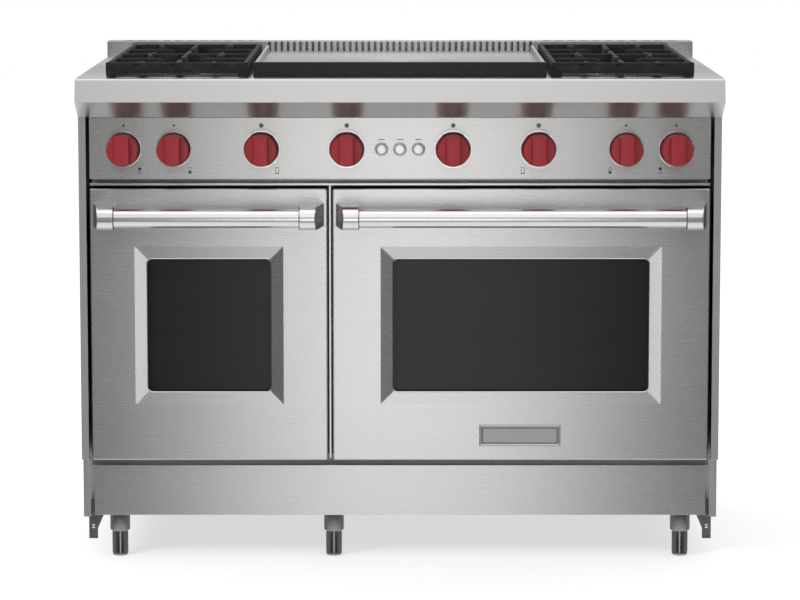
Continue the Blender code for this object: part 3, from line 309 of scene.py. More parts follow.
def zinc_sheet(name, dark, light):
    finish = Finish(name)
    flake = finish.add("ShaderNodeRGBToBW", {}, {"Color": finish.cells(110.0, "Color")})["Val"]
    dust = finish.noise(14.0, 3.0, 0.6)
    return finish.surface(
        Base_Color=finish.mix(0.6 * flake + 0.4 * dust, dark, light),
        Metallic=0.85,
        Roughness=0.34 + 0.18 * flake + 0.10 * dust,
        Normal=finish.bump(flake, 0.00004),
    )


ring_steel = polished("knob_ring_steel", (0.86, 0.855, 0.85), (0.78, 0.775, 0.77), 0.12, speck=0.04)
plate_steel = polished("plate_steel", (0.62, 0.615, 0.61), (0.57, 0.565, 0.56), 0.36, speck=0.02)
chrome = polished("chrome_plate", (0.86, 0.86, 0.86), (0.78, 0.78, 0.78), 0.06, speck=0.05)
bright_wire = polished("plated_wire", (0.70, 0.70, 0.69), (0.55, 0.55, 0.54), 0.20, speck=0.08)
leg_steel = polished("turned_leg_steel", (0.36, 0.36, 0.355), (0.28, 0.28, 0.275), 0.19, speck=0.05)
brass = polished("gas_brass", (0.60, 0.44, 0.18), (0.38, 0.27, 0.11), 0.24, speck=0.12)
burner_alloy = cast_alloy("burner_cast_alloy", (0.50, 0.49, 0.46), (0.36, 0.35, 0.33), 0.38)
zinc = zinc_sheet("galvanised_sheet", (0.33, 0.34, 0.35), (0.52, 0.53, 0.54))
dull_zinc = zinc_sheet("dull_bracket_zinc", (0.11, 0.113, 0.115), (0.25, 0.253, 0.256))

# %% [markdown]
# ## Cast iron, enamel and glass
# The grates are cast in sand and coated dull black, so their skin is pitted, and a little grey where pans
# rub. Enamel is glass fused on steel: shiny, slightly rippled, and speckled inside the ovens. The door glass
# is tinted nearly black; a very faint waviness keeps its reflection from looking like a mirror.

# %% Dark finishes
def cast_iron_skin(name):
    finish = Finish(name)
    pits = finish.noise(700.0, 5.0, 0.75)
    rub = finish.noise(45.0, 4.0, 0.6)
    worn = (rub - 0.52) * 3.0 * (rub > 0.52)
    return finish.surface(
        Base_Color=finish.mix(worn, (0.009, 0.009, 0.0095), (0.030, 0.029, 0.028)),
        Roughness=0.56 + 0.22 * pits,
        Normal=finish.bump(pits, 0.00030),
        Specular_IOR_Level=0.32,
    )


def enamel(name, ground, speck, speck_size=0.0022, rough=0.10, shine=0.5):
    finish = Finish(name)
    grit = finish.cells(1.0 / speck_size, "Distance") < 0.16
    scatter = finish.noise(60.0, 3.0, 0.7)
    ripple = finish.noise(120.0, 2.0, 0.5)
    return finish.surface(
        Base_Color=finish.mix(grit * (scatter > 0.5), ground, speck),
        Roughness=rough + 0.14 * scatter,
        Normal=finish.bump(ripple, 0.00012),
        Specular_IOR_Level=shine,
    )


def tinted_glass(name):
    finish = Finish(name)
    wave = finish.noise(9.0, 2.0, 0.5)
    wipe = finish.noise((7.0, 7.0, 26.0), 4.0, 0.65)
    return finish.surface(
        Base_Color=finish.mix(wipe, (0.0065, 0.0070, 0.0075), (0.010, 0.0105, 0.011)),
        Roughness=0.12 + 0.10 * wipe,
        Normal=finish.bump(wave, 0.00006),
        Specular_IOR_Level=0.26,
    )


iron = cast_iron_skin("cast_iron_grate")
black_enamel = enamel("black_enamel", (0.011, 0.011, 0.012), (0.022, 0.022, 0.024), rough=0.16, shine=0.20)
oven_enamel = enamel("oven_enamel", (0.020, 0.022, 0.030), (0.30, 0.31, 0.33), 0.0030, 0.16)
glass = tinted_glass("door_glass_black")

# %% [markdown]
# ## The red of the knobs
# The knobs are moulded in a deep red plastic with a satin gloss. Moulding leaves a skin like fine orange
# peel, the colour is a shade lighter in patches, and fingers polish some places more than others. The same
# recipe in other colours gives the buttons, the lamp lenses, the spark sleeves and every black moulding.

# %% Knob red and small black parts
def moulded(name, colour, deep, rough, coat):
    finish = Finish(name)
    peel = finish.noise(420.0, 2.0, 0.5)
    polish = finish.noise(38.0, 3.0, 0.6)
    return finish.surface(
        Base_Color=finish.mix(polish, deep, colour),
        Roughness=rough + 0.12 * polish + 0.05 * peel,
        Normal=finish.bump(peel, 0.00005),
        Specular_IOR_Level=0.35,
        Coat_Weight=coat,
        Coat_Roughness=0.12,
    )


knob_red = moulded("knob_red_plastic", (0.270, 0.015, 0.023), (0.215, 0.011, 0.017), 0.36, 0.15)
black_plastic = moulded("black_moulding", (0.022, 0.022, 0.023), (0.013, 0.013, 0.014), 0.42, 0.0)
button_white = moulded("button_pearl", (0.84, 0.84, 0.83), (0.66, 0.66, 0.65), 0.16, 0.8)
ceramic = moulded("spark_ceramic", (0.34, 0.33, 0.31), (0.24, 0.23, 0.21), 0.45, 0.0)
lens_grey = moulded("lamp_lens", (0.16, 0.16, 0.16), (0.11, 0.11, 0.11), 0.22, 0.4)

# %% [markdown]
# ## Making new pieces
# Most small parts of a range are turned, cast or bent from wire, so three ways of building cover them: a
# profile turned about an axis, a run of outlines skinned together, and a round wire along a path. Each one
# adds to one mesh, and `piece` turns the mesh into an object with its finish, the body it rides on and the
# parts it stands for.

# %% A small mesh builder
class Shape:
    """Closed shells that together make one piece."""

    def __init__(self):
        self.mesh = bmesh.new()

    def skin(self, rings, loop=False):
        """Joins a run of outlines. Flat faces close its ends, or `loop` joins them to each other."""
        rows = [[self.mesh.verts.new(point) for point in ring] for ring in rings]
        for near, far in zip(rows, rows[1:] + (rows[:1] if loop else [])):
            for here in range(len(near)):
                there = (here + 1) % len(near)
                self.mesh.faces.new((near[here], near[there], far[there], far[here]))
        if not loop:
            self.mesh.faces.new(rows[0][::-1])
            self.mesh.faces.new(rows[-1])
        return self

    def block(self, low, high):
        (x0, y0, z0), (x1, y1, z1) = low, high
        return self.skin([[(x0, y0, z), (x1, y0, z), (x1, y1, z), (x0, y1, z)] for z in (z0, z1)])

    def turned(self, centre, profile, axis="z", steps=48, loop=False):
        """A profile of (place along the axis, radius) turned about an axis through `centre`."""
        return self.skin([ring(centre, axis, along, radius, steps) for along, radius in profile], loop)

    def tube(self, path, radius, steps=10, loop=False):
        """A round bar along a path in one level plane."""
        rings = []
        for index, (x, y, z) in enumerate(path):
            before = path[index - 1] if index or loop else path[0]
            after = path[(index + 1) % len(path)] if index + 1 < len(path) or loop else path[-1]
            run, rise = after[0] - before[0], after[1] - before[1]
            length = sqrt(run * run + rise * rise)
            side = (-rise / length, run / length)
            rings.append([(x + side[0] * radius * cos(turn), y + side[1] * radius * cos(turn),
                           z + radius * sin(turn)) for turn in turns(steps)])
        return self.skin(rings, loop)


def turns(steps):
    return [2.0 * pi * step / steps for step in range(steps)]


def ring(centre, axis, along, radius, steps):
    """The points of a circle that stands across an axis."""
    x, y, z = centre
    points = []
    for turn in turns(steps):
        u, v = radius * cos(turn), radius * sin(turn)
        points.append({"x": (x + along, y + u, z + v), "y": (x + u, y + along, z + v),
                       "z": (x + u, y + v, z + along)}[axis])
    return points


def piece(name, shape, finish, body, replaces=(), edge=0.0, segments=2, sharp=32.0):
    """An object from a shape. `edge` rounds the folds that are steeper than `sharp` degrees."""
    bmesh.ops.recalc_face_normals(shape.mesh, faces=shape.mesh.faces)
    mesh = bpy.data.meshes.new(name)
    shape.mesh.to_mesh(mesh)
    shape.mesh.free()
    mesh.shade_smooth()
    mesh.set_sharp_from_angle(angle=radians(sharp))
    mesh.materials.append(finish)
    obj = bpy.data.objects.new(name, mesh)
    bpy.context.scene.collection.objects.link(obj)
    if edge:
        bevel = obj.modifiers.new("edges", "BEVEL")
        bevel.width = edge
        bevel.segments = segments
        bevel.limit_method = "ANGLE"
        bevel.angle_limit = radians(sharp)
        bevel.harden_normals = True
    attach(obj, body)
    if replaces:
        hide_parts(*replaces)
    return obj


def middle(node):
    low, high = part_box(node)
    return (low + high) / 2


print("shapes can be turned, skinned and piped")

# %% [markdown]
# ## Folding the sheet-metal parts
# Panels, doors and liners already have their true shape, but the model's triangles leave every edge knife
# sharp, and real sheet is folded round a small radius that catches a thread of light. Each part is copied,
# its doubled corners are joined and its flat triangles dissolved, and then only true folds are left to round.

# %% Folded sheet parts
def folded(names, finish, edge=0.0005, fold=32.0):
    """Pieces with the shape of parts of the working model, cleaned so that their folds can be rounded."""
    for name in names:
        shape = Shape()
        shape.mesh.from_mesh(nodes[name].data)
        bmesh.ops.remove_doubles(shape.mesh, verts=shape.mesh.verts, dist=0.00001)
        bmesh.ops.dissolve_limit(shape.mesh, angle_limit=radians(0.5), verts=shape.mesh.verts,
                                 edges=shape.mesh.edges)
        body = next(body for body, empty in frame["bodies"].items() if nodes[name].parent == empty)
        sheet_piece = piece(f"{name}_sheet", shape, finish, body, [name], edge=edge, sharp=fold)
        sheet_piece.modifiers.new("flat_faces", "WEIGHTED_NORMAL").keep_sharp = True
    print("folded", len(names), "parts in", finish.name)


SIZES = ("small", "large")
SIDES = ("left", "right")
folded(["control_panel", "front_frame", "kick_panel", "backguard"], sheet)
folded(["cooktop_deck"], deck_sheet, edge=0.0004)
folded([f"{size}_door_skin" for size in SIZES], sheet, edge=0.0003, fold=4.0)
folded([f"{side}_side_panel" for side in SIDES], side_sheet, edge=0.0004)
folded(["griddle_plate"], ground_plate, edge=0.0008)
folded(["griddle_tray", "burner_pan_left", "burner_pan_right"], black_enamel)
folded([f"{size}_oven_liner" for size in SIZES], oven_enamel)
folded([f"{size}_door_liner" for size in SIZES], oven_enamel)
folded([f"{size}_door_glass" for size in SIZES], glass, edge=0.0003)
folded(["back_panel", "base_pan"], zinc, edge=0.0003)
folded(["kick_bracket_left", "kick_bracket_right"], dull_zinc, edge=0.0003)
folded(["fan_wheel"], bright_wire, edge=0.0003)
folded(["gas_manifold"], brass, edge=0.0004)

# %% [markdown]
# ## Knobs
# Each knob is a round skirt with a thick grip bar moulded across it. The bar's sides lean in a little so that
# it leaves the mould, and its ends follow the skirt's circle. Turning the skirt and skinning the bar from its
# root to its rounded top gives both as clean rings, which a turned form alone could not.

# %% Knobs
BURNER_KNOBS = (1, 2, 7, 8)
panel_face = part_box("control_panel")[0].y
knob_low, knob_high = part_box("knob_1")
knob_radius = (knob_high.x - knob_low.x) / 2
knob_reach = panel_face - knob_low.y
SEAT = 0.0032           # from the panel out to the knob's back
FACE = 0.0375           # from the panel out to its round face
TAPER = 0.0025          # how much smaller the back is than the face
SHAFT = 0.0032          # radius of the shaft
SHAFT_END = 0.029       # from the panel in to the shaft's end


def grip_outline(half_width, radius, steps=12):
    """Across and up: a strip of a circle, with straight sides and ends that follow the circle."""
    swing = asin(half_width / radius)
    points = []
    for side in (1, -1):
        for step in range(steps + 1):
            turn = swing * (1.0 - 2.0 * step / steps)
            points.append((side * radius * sin(turn), side * radius * cos(turn)))
    return points


def knob(number):
    centre = middle(f"knob_{number}")
    edge = knob_radius
    skirt = [(SHAFT_END, SHAFT), (-SEAT, SHAFT), (-SEAT, edge - TAPER - 0.0010),
             (-SEAT - 0.0010, edge - TAPER), (0.0055 - FACE, edge - 0.0006), (0.0030 - FACE, edge - 0.0010),
             (0.0012 - FACE, edge - 0.0019), (0.0002 - FACE, edge - 0.0032), (-FACE, edge - 0.0044),
             (0.0010 - FACE, 0.010)]
    shape = Shape().turned((centre.x, panel_face, centre.z), skirt, "y", 72)
    levels = [(0.0040, 0.0152, 0.0296), (-0.0006, 0.0147, 0.0294), (-0.0030, 0.0143, 0.0290),
              (-0.0075, 0.0136, 0.0282), (-0.0090, 0.0131, 0.0276), (-0.0097, 0.0122, 0.0266),
              (FACE - knob_reach, 0.0108, 0.0250)]
    shape.skin([[(centre.x + u, panel_face + y - FACE, centre.z + v) for u, v in grip_outline(half, radius)]
                for y, half, radius in levels])
    piece(f"knob_{number}_grip", shape, knob_red, f"knob_{number}_body", [f"knob_{number}"],
          sharp=40.0)


for number in range(1, 9):
    knob(number)
print("8 knobs of", round(2000 * knob_radius, 1), "mm")

# %% [markdown]
# ## Knob rings
# A bright ring on the panel frames each knob. The four oven and griddle knobs have a wider ring with a flat
# flange. Each is one closed section turned right round; a black disc behind the knob is painted shade in the
# gap.

# %% Knob rings
def knob_ring(number):
    centre = middle(f"knob_{number}")
    inner = knob_radius - 0.0012
    if number in BURNER_KNOBS:
        section = [(0.0, 0.0340), (-0.0018, 0.0339), (-0.0028, 0.0333), (-0.0030, 0.0322),
                   (-0.0022, inner), (0.0, inner)]
    else:
        section = [(0.0, 0.0362), (-0.0014, 0.0362), (-0.0020, 0.0357), (-0.0020, 0.0350),
                   (-0.0006, 0.0346), (-0.0006, 0.0340), (-0.0028, 0.0337), (-0.0034, 0.0326),
                   (-0.0024, inner), (0.0, inner)]
    at = (centre.x, panel_face - 0.0001, centre.z)
    piece(f"knob_{number}_ring", Shape().turned(at, section, "y", 96, loop=True), ring_steel,
          "range_body")
    # Painted shade: a black disc just off the panel darkens the gap between the knob and its ring.
    painted_shade_disc = [(0.0, inner), (-0.0004, inner), (-0.0004, 0.006), (0.0, 0.006)]
    piece(f"knob_{number}_well", Shape().turned(at, painted_shade_disc, "y", 64, loop=True), black_plastic,
          "range_body")


for number in range(1, 9):
    knob_ring(number)
print("8 rings, each over a black well")

# %% [markdown]
# ## Lamps and printed marks
# The burner knobs have a printed dot above them, the others a small lamp. Most also have a little plan of the
# cooktop beside them. The prints are very thin raised shapes, which keeps them crisp at any distance.

# %% Lamps and printed marks
PRINT = 0.0003          # how far a printed mark stands from the panel
DOT_RISE = 0.0450       # from a knob's middle up to its dot or lamp
PLAN_OUT = 0.030        # from a knob's middle across to its plan
PLAN_DROP = 0.0405      # and down to it


def dot(number):
    centre = middle(f"knob_{number}")
    at = (centre.x, panel_face, centre.z + DOT_RISE)
    if number in BURNER_KNOBS:
        ink = [(0.0, 0.0021), (-0.0002, 0.0020), (-PRINT, 0.0010)]
        piece(f"knob_{number}_dot", Shape().turned(at, ink, "y", 24), black_plastic, "range_body")
        return
    rim = [(0.0, 0.0042), (-0.0010, 0.0041), (-0.0014, 0.0036), (-0.0008, 0.0030), (0.0, 0.0029)]
    piece(f"lamp_{number}_rim", Shape().turned(at, rim, "y", 40, loop=True), leg_steel, "range_body")
    lens = [(0.0, 0.0029), (-0.0010, 0.0028), (-0.0018, 0.0020), (-0.0021, 0.0008)]
    piece(f"lamp_{number}_lens", Shape().turned(at, lens, "y", 32), lens_grey, "range_body")


def print_bar(shape, x, z, half_width, half_height):
    shape.block((x - half_width, panel_face - PRINT, z - half_height),
                (x + half_width, panel_face, z + half_height))


def print_frame(shape, x, z, width, height, line):
    """A thin rectangular outline printed on the panel."""
    for side in (1, -1):
        print_bar(shape, x, z + side * (height - line) / 2, width / 2, line / 2)
        print_bar(shape, x - side * (width - line) / 2, z, line / 2, height / 2 - line)


def cooktop_plan(number):
    """Two burner places with this knob's one filled in, or for the griddle one long frame."""
    centre = middle(f"knob_{number}")
    sign = 1 if number < 5 else -1
    x, z = centre.x + sign * PLAN_OUT, centre.z - PLAN_DROP
    shape = Shape()
    if number in (3, 6):
        print_frame(shape, x, z, 0.0066, 0.0120, 0.0008)
        print_bar(shape, x, z - 0.00525, 0.0025, 0.00075)
    else:
        back = number in (1, 8)
        for place, filled in ((z + 0.0033, back), (z - 0.0033, not back)):
            print_frame(shape, x, place, 0.0056, 0.0050, 0.0006)
            if filled:
                print_bar(shape, x, place, 0.0020, 0.0018)
    piece(f"knob_{number}_plan", shape, black_plastic, "range_body")


for number in range(1, 9):
    dot(number)
    if number not in (4, 5):
        cooktop_plan(number)
print("4 dots, 4 lamps and 6 plans of the cooktop")

# %% [markdown]
# ## Push buttons
# Three small buttons switch the light, the fan and the cleaning. Each is a pearl dome in a double ring. Over
# each one stands a row of four printed dashes in place of a word.

# %% Push buttons
def push_button(kind):
    centre = middle(f"{kind}_button")
    low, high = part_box(f"{kind}_button")
    radius = (high.x - low.x) / 2 - 0.0010
    at = (centre.x, panel_face, centre.z)
    root, tip = high.y - panel_face, low.y - panel_face
    dome = [(root, radius), (tip + 0.0030, radius), (tip + 0.0018, radius - 0.0006),
            (tip + 0.0008, radius - 0.0021), (tip + 0.0002, radius - 0.0042), (tip, 0.0006)]
    piece(f"{kind}_button_dome", Shape().turned(at, dome, "y", 48), button_white, f"{kind}_button_body",
          [f"{kind}_button"], sharp=50.0)
    outer = [(0.0, 0.0124), (-0.0016, 0.0123), (-0.0022, 0.0119), (-0.0020, 0.0113), (0.0, 0.0110)]
    inner = [(0.0, 0.0101), (-0.0022, 0.0100), (-0.0030, 0.0095), (-0.0026, 0.0088), (0.0, 0.0086)]
    for name, section in (("outer", outer), ("inner", inner)):
        piece(f"{kind}_button_{name}_ring", Shape().turned(at, section, "y", 64, loop=True), ring_steel,
              "range_body")
    # Painted shade: dark steel laid between the two rings darkens the gap between them.
    painted_ring_gap_shade = [(0.0, 0.0130), (-0.0003, 0.0130), (-0.0003, 0.0081), (0.0, 0.0081)]
    piece(f"{kind}_button_painted_gap_shade", Shape().turned(at, painted_ring_gap_shade, "y", 48, loop=True), leg_steel, "range_body")
    dashes = Shape()
    for step in (-1.5, -0.5, 0.5, 1.5):
        print_bar(dashes, centre.x + step * 0.0030, centre.z + 0.01835, 0.0011, 0.00085)
    piece(f"{kind}_button_mark", dashes, black_plastic, "range_body")


for kind in ("light", "fan", "clean"):
    push_button(kind)
print("3 push buttons")

# %% [markdown]
# ## Door handles
# Each handle is a thick brushed tube held at both ends in a bracket. The bracket is a sleeve round the tube
# that runs straight back to the door, and its outer end leans outward so that its foot is wider than the
# sleeve. The tube is turned; the bracket is one U-shaped section skinned between its two ends.

# %% Door handles
LEAN = 0.0155           # how far a bracket's outer end leans out towards the door


def handle_tube(size):
    low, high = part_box(f"{size}_handle_bar")
    centre = (low + high) / 2
    radius = (high.z - low.z) / 2
    half = (high.x - low.x) / 2
    chamfer = 0.001
    profile = [(-half, radius - chamfer), (chamfer - half, radius), (half - chamfer, radius),
               (half, radius - chamfer)]
    piece(f"{size}_handle_tube", Shape().turned(centre, profile, "x", 96), tube_steel, f"{size}_door",
          [f"{size}_handle_bar"])
    return centre, radius


def bracket_section(x, front_x, line, radius, door_y, steps=28):
    """The U of a bracket: round in front, straight back to the door. x may change with depth."""
    points = []
    for step in range(steps + 1):
        turn = pi / 2 + pi * step / steps
        points.append((line.y + radius * cos(turn), line.z + radius * sin(turn)))
    points = [(door_y, line.z + radius)] + points + [(door_y, line.z - radius)]
    tip = line.y - radius
    return [(front_x + (x - front_x) * (y - tip) / (door_y - tip), y, z) for y, z in points]


def handle_bracket(size, side, line, tube_radius):
    low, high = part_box(f"{size}_handle_post_{side}")
    out = -1 if side == "left" else 1
    outer, inner = (low.x, high.x) if out < 0 else (high.x, low.x)
    radius = (high.z - low.z) / 2
    door_y = high.y
    shape = Shape()
    shape.skin([bracket_section(inner, inner, line, radius, door_y),
                bracket_section(outer, outer - out * LEAN, line, radius, door_y)])
    piece(f"{size}_handle_bracket_{side}", shape, tube_steel, f"{size}_door",
          [f"{size}_handle_post_{side}"], edge=0.0014, segments=3, sharp=40.0)
    # Painted shade: a black ring on the bracket's inner end, round the tube, darkens where the tube goes into
    # the bracket.
    painted_crevice_shade = [(0.0, tube_radius + 0.0001), (0.0, radius - 0.0016), (-out * 0.0009, radius - 0.0018),
              (-out * 0.0009, tube_radius + 0.0001)]
    piece(f"{size}_handle_groove_{side}", Shape().turned((inner, line.y, line.z), painted_crevice_shade, "x", 64, loop=True),
          black_plastic, f"{size}_door")


for size in SIZES:
    line, tube_radius = handle_tube(size)
    for side in SIDES:
        handle_bracket(size, side, line, tube_radius)
print("2 handles, line at", tuple(round(value, 4) for value in line))

# %% [markdown]
# ## Burners
# Gas leaves a burner through ports round its head. A head is an alloy casting: a flared base, and above it a
# ring of slots. The radius of the turned rings steps in and out round the circle, which cuts the slots. A
# dull black cap with a soft edge sits on top, and the spark electrode stands beside it in its sleeve.

# %% Burners
PORTS = 36


def ported_ring(centre, z, radius, cut, steps=6):
    points = []
    for step, turn in enumerate(turns(PORTS * steps)):
        reach = radius - (cut if step % steps < steps // 3 else 0.0)
        points.append((centre.x + reach * cos(turn), centre.y + reach * sin(turn), z))
    return points


def burner_head(number, centre, low, high, base, neck):
    rows = [(low.z, base - 0.001, 0.0), (low.z + 0.0012, base, 0.0), (low.z + 0.0030, base, 0.0),
            (low.z + 0.0050, base - 0.004, 0.0), (low.z + 0.0065, neck, 0.0),
            (low.z + 0.0070, neck, 0.0030), (high.z - 0.0030, neck + 0.0008, 0.0030),
            (high.z - 0.0024, neck + 0.0012, 0.0), (high.z, neck + 0.0006, 0.0), (high.z, neck - 0.006, 0.0)]
    shape = Shape().skin([ported_ring(centre, z, radius, cut) for z, radius, cut in rows])
    piece(f"burner_{number}_head", shape, burner_alloy, "range_body",
          [f"burner_head_{number}"])


def burner_cap(number, centre):
    low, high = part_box(f"burner_cap_{number}")
    radius = (high.x - low.x) / 2
    thick = high.z - low.z
    rim = [(0.0, radius - 0.0030), (0.0, radius - 0.0012), (0.0012, radius - 0.0001), (0.0026, radius),
           (0.0040, radius - 0.0007), (0.0052, radius - 0.0026), (0.0060, radius - 0.0060),
           (thick, radius - 0.012), (thick - 0.0004, radius - 0.020), (thick - 0.0004, 0.002)]
    piece(f"burner_{number}_cap", Shape().turned((centre.x, centre.y, low.z), rim, "z", 72), iron,
          "range_body", [f"burner_cap_{number}"], sharp=50.0)


def spark_plug(number, place):
    sleeve = [(0.0, 0.0030), (0.0075, 0.0030), (0.0085, 0.0026), (0.0120, 0.0024), (0.0126, 0.0016)]
    wire = [(0.0120, 0.0008), (0.0155, 0.0008), (0.0165, 0.0003)]
    piece(f"burner_{number}_sleeve", Shape().turned(place, sleeve, "z", 20), ceramic, "range_body")
    piece(f"burner_{number}_spark", Shape().turned(place, wire, "z", 12), bright_wire, "range_body")


def burner(number):
    low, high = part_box(f"burner_head_{number}")
    centre = (low + high) / 2
    base = (high.x - low.x) / 2
    neck = base - 0.011
    burner_head(number, centre, low, high, base, neck)
    burner_cap(number, centre)
    side = -1 if centre.x > 0 else 1
    spark_plug(number, (centre.x + side * (neck + 0.0065), centre.y - 0.012, low.z))


for number in range(1, 5):
    burner(number)
print("4 burners with", PORTS, "ports each")

# %% [markdown]
# ## Cast grates
# A grate is one casting over two burners: a frame on four feet, a bar across its middle, and fingers that
# reach in over each flame. Cast bars are narrower at the top than at the root and every edge is round. Each
# bar is skinned from a rounded wedge section, and a finger's free end dips in a soft slope.

# %% Bars of the grates
BAR_HALF = 0.0055       # half the width of a bar at its root
BAR_HEIGHT = 0.020


def bar_section(half, foot, top):
    """Across and up, from the foot round the top edge and back."""
    edge = 0.0022
    half_top = half - 0.0012
    rise = [(-half, foot), (-half_top - 0.0002, top - edge), (-half_top + edge * 0.3, top - edge * 0.3),
            (-half_top + edge, top)]
    return rise + [(-across, up) for across, up in reversed(rise)]


def cast_bar(shape, start, end, half, foot, top, free=False):
    """A level bar from start to end, in plan. A free end is rounded over and dips."""
    run, rise = end[0] - start[0], end[1] - start[1]
    length = sqrt(run * run + rise * rise)
    along = (run / length, rise / length)
    across = (-along[1], along[0])
    stations = [(0.0, 1.0, 0.0), (length, 1.0, 0.0)]
    if free:
        stations = [(0.0, 1.0, 0.0), (length - 0.012, 1.0, 0.0), (length - 0.006, 0.94, 0.0006),
                    (length - 0.002, 0.80, 0.0022), (length, 0.55, 0.0050)]
    rings = []
    for place, narrow, dip in stations:
        x, y = start[0] + along[0] * place, start[1] + along[1] * place
        rings.append([(x + across[0] * u * narrow, y + across[1] * u * narrow, z)
                      for u, z in bar_section(half, foot + dip * 0.5, top - dip)])
    shape.skin(rings)


print("bars", round(2000 * BAR_HALF), "mm wide")

# %% [markdown]
# ## Putting a grate together
# The frame's four bars run through each other at the corners, as in a casting where there is no joint to see.
# The fingers start from the frame or from the middle bar, and all of them stop short of the flame. Low round
# pads on the bars carry the pans.

# %% Cast grates
def grate_frame(shape, low, high, foot, top):
    """The four outer bars and the feet under the corners."""
    lap = 0.001
    sides = (low.x + BAR_HALF, high.x - BAR_HALF)
    ends = (low.y + BAR_HALF, high.y - BAR_HALF)
    for y in ends:
        cast_bar(shape, (low.x, y), (high.x, y), BAR_HALF, foot, top)
    for x in sides:
        cast_bar(shape, (x, low.y + lap), (x, high.y - lap), BAR_HALF, foot, top)
    width, depth = 0.020, 2 * BAR_HALF
    levels = ((low.z, 0.002), (low.z + 0.0015, 0.0006), (foot + 0.002, 0.0002), (top - 0.004, 0.0012))
    for x in (low.x, high.x - width):
        for y in (low.y, high.y - depth):
            shape.skin([[(x + d, y + d * 0.3, z), (x + width - d, y + d * 0.3, z),
                         (x + width - d, y + depth - d * 0.3, z), (x + d, y + depth - d * 0.3, z)]
                        for z, d in levels])


def grate_fingers(shape, low, high, rows, foot, top):
    """The middle bar, and eight fingers round each burner."""
    x = (low.x + high.x) / 2
    left, right = low.x + BAR_HALF, high.x - BAR_HALF
    front, back = low.y + BAR_HALF, high.y - BAR_HALF
    centre_y = sum(rows) / 2
    gap = 0.034             # from the middle of the flame to a finger's tip
    cast_bar(shape, (left, centre_y), (right, centre_y), BAR_HALF, foot, top - 0.0004)
    top -= 0.0002
    for y in rows:
        cast_bar(shape, (left, y), (x - gap, y), BAR_HALF, foot, top, free=True)
        cast_bar(shape, (right, y), (x + gap, y), BAR_HALF, foot, top, free=True)
        for start in (front if y < centre_y else back, centre_y):
            inward = 1 if start < y else -1
            cast_bar(shape, (x, start), (x, y - inward * gap), BAR_HALF, foot, top, free=True)
            for offset in (-0.075, 0.075):
                tip = (x + offset * 0.86, start + inward * 0.052)
                cast_bar(shape, (x + offset, start), tip, BAR_HALF * 0.9, foot, top, free=True)
    pad = [(0.0, 0.0080), (0.0018, 0.0078), (0.0027, 0.0066), (0.0030, 0.0040)]
    for y in (front, centre_y, back):
        for share in (0.21, 0.47, 0.77):
            at = (low.x + share * (high.x - low.x), y, high.z - 0.0030)
            shape.turned(at, pad, "z", 20)


def grate(side):
    low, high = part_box(f"grate_{side}")
    numbers = (1, 2) if side == "left" else (3, 4)
    rows = sorted({round(middle(f"burner_cap_{number}").y, 4) for number in numbers})
    shape = Shape()
    grate_frame(shape, low, high, high.z - BAR_HEIGHT, high.z)
    grate_fingers(shape, low, high, rows, high.z - BAR_HEIGHT, high.z)
    piece(f"cast_grate_{side}", shape, iron, f"grate_{side}_body", [f"grate_{side}"],
          edge=0.0007, sharp=38.0)


for side in SIDES:
    grate(side)
print("2 cast grates")

# %% [markdown]
# ## Legs and feet
# A steel sleeve comes down from the base at each corner and at the middle, and a threaded foot turns in it.
# The foot ends in a shallow groove and a rounded pad. Both are turned, so a profile is all they need.

# %% Legs and feet
SLEEVE_RADIUS = 0.0190
SLEEVE_LENGTH = 0.055


def leg(number):
    low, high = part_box(f"foot_{number}")
    centre = (low + high) / 2
    radius = (high.x - low.x) / 2
    at = (centre.x, centre.y, 0.0)
    foot = [(0.0, radius - 0.0030), (0.0006, radius - 0.0018), (0.0022, radius - 0.0008),
            (0.0046, radius - 0.0004), (0.0052, radius - 0.0014), (0.0062, radius - 0.0014),
            (0.0068, radius - 0.0001), (0.0440, radius), (0.0452, radius - 0.0004), (high.z, radius - 0.0010)]
    piece(f"foot_{number}_turned", Shape().turned(at, foot, "z", 64), leg_steel, f"foot_{number}_body",
          [f"foot_{number}"])
    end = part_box("base_pan")[0].z
    bore, outside = radius + 0.0004, SLEEVE_RADIUS + 0.0003
    sleeve = [(end + 0.0002, bore), (end + 0.0002, SLEEVE_RADIUS - 0.0012), (end + 0.0026, outside),
              (end + SLEEVE_LENGTH, outside), (end + SLEEVE_LENGTH, bore)]
    piece(f"leg_{number}_sleeve", Shape().turned(at, sleeve, "z", 64, loop=True), leg_steel, "range_body")


for number in range(1, 7):
    leg(number)
print("6 legs")

# %% [markdown]
# ## Screws of the kick brackets
# The small bracket at each end of the kick panel has one hole, and a pan-head screw fills it. The head is a
# turned dome, wider than the hole, on a short shank that goes into it.

# %% Bracket screws
SCREW_IN = 0.0086       # from the bracket's outer edge to its hole
SCREW_UP = 0.02425      # from the bracket's lower end


def bracket_screw(side):
    low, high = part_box(f"kick_bracket_{side}")
    x = low.x + SCREW_IN if side == "left" else high.x - SCREW_IN
    screw = [(0.0015, 0.0022), (0.0, 0.0022), (0.0, 0.0042), (-0.0010, 0.0040), (-0.0018, 0.0026),
             (-0.0020, 0.0008)]
    piece(f"kick_screw_{side}", Shape().turned((x, low.y, low.z + SCREW_UP), screw, "y", 32), ring_steel,
          "range_body")


for side in SIDES:
    bracket_screw(side)
print("2 bracket screws")

# %% [markdown]
# ## Round corners
# Racks, seals and window lips all follow a rectangle with round corners. A generator gives the centre and the
# angle of each step round it, and each piece lays its own section there.

# %% Round corners
def corner_steps(left, right, low, high, bend, steps):
    """Goes round a rectangle: the centre of each corner's bend and the angle of each step in it."""
    corners = ((right - bend, high - bend), (left + bend, high - bend),
               (left + bend, low + bend), (right - bend, low + bend))
    for quarter, (across, up) in enumerate(corners):
        for step in range(steps + 1):
            yield across, up, pi / 2 * (quarter + step / steps)


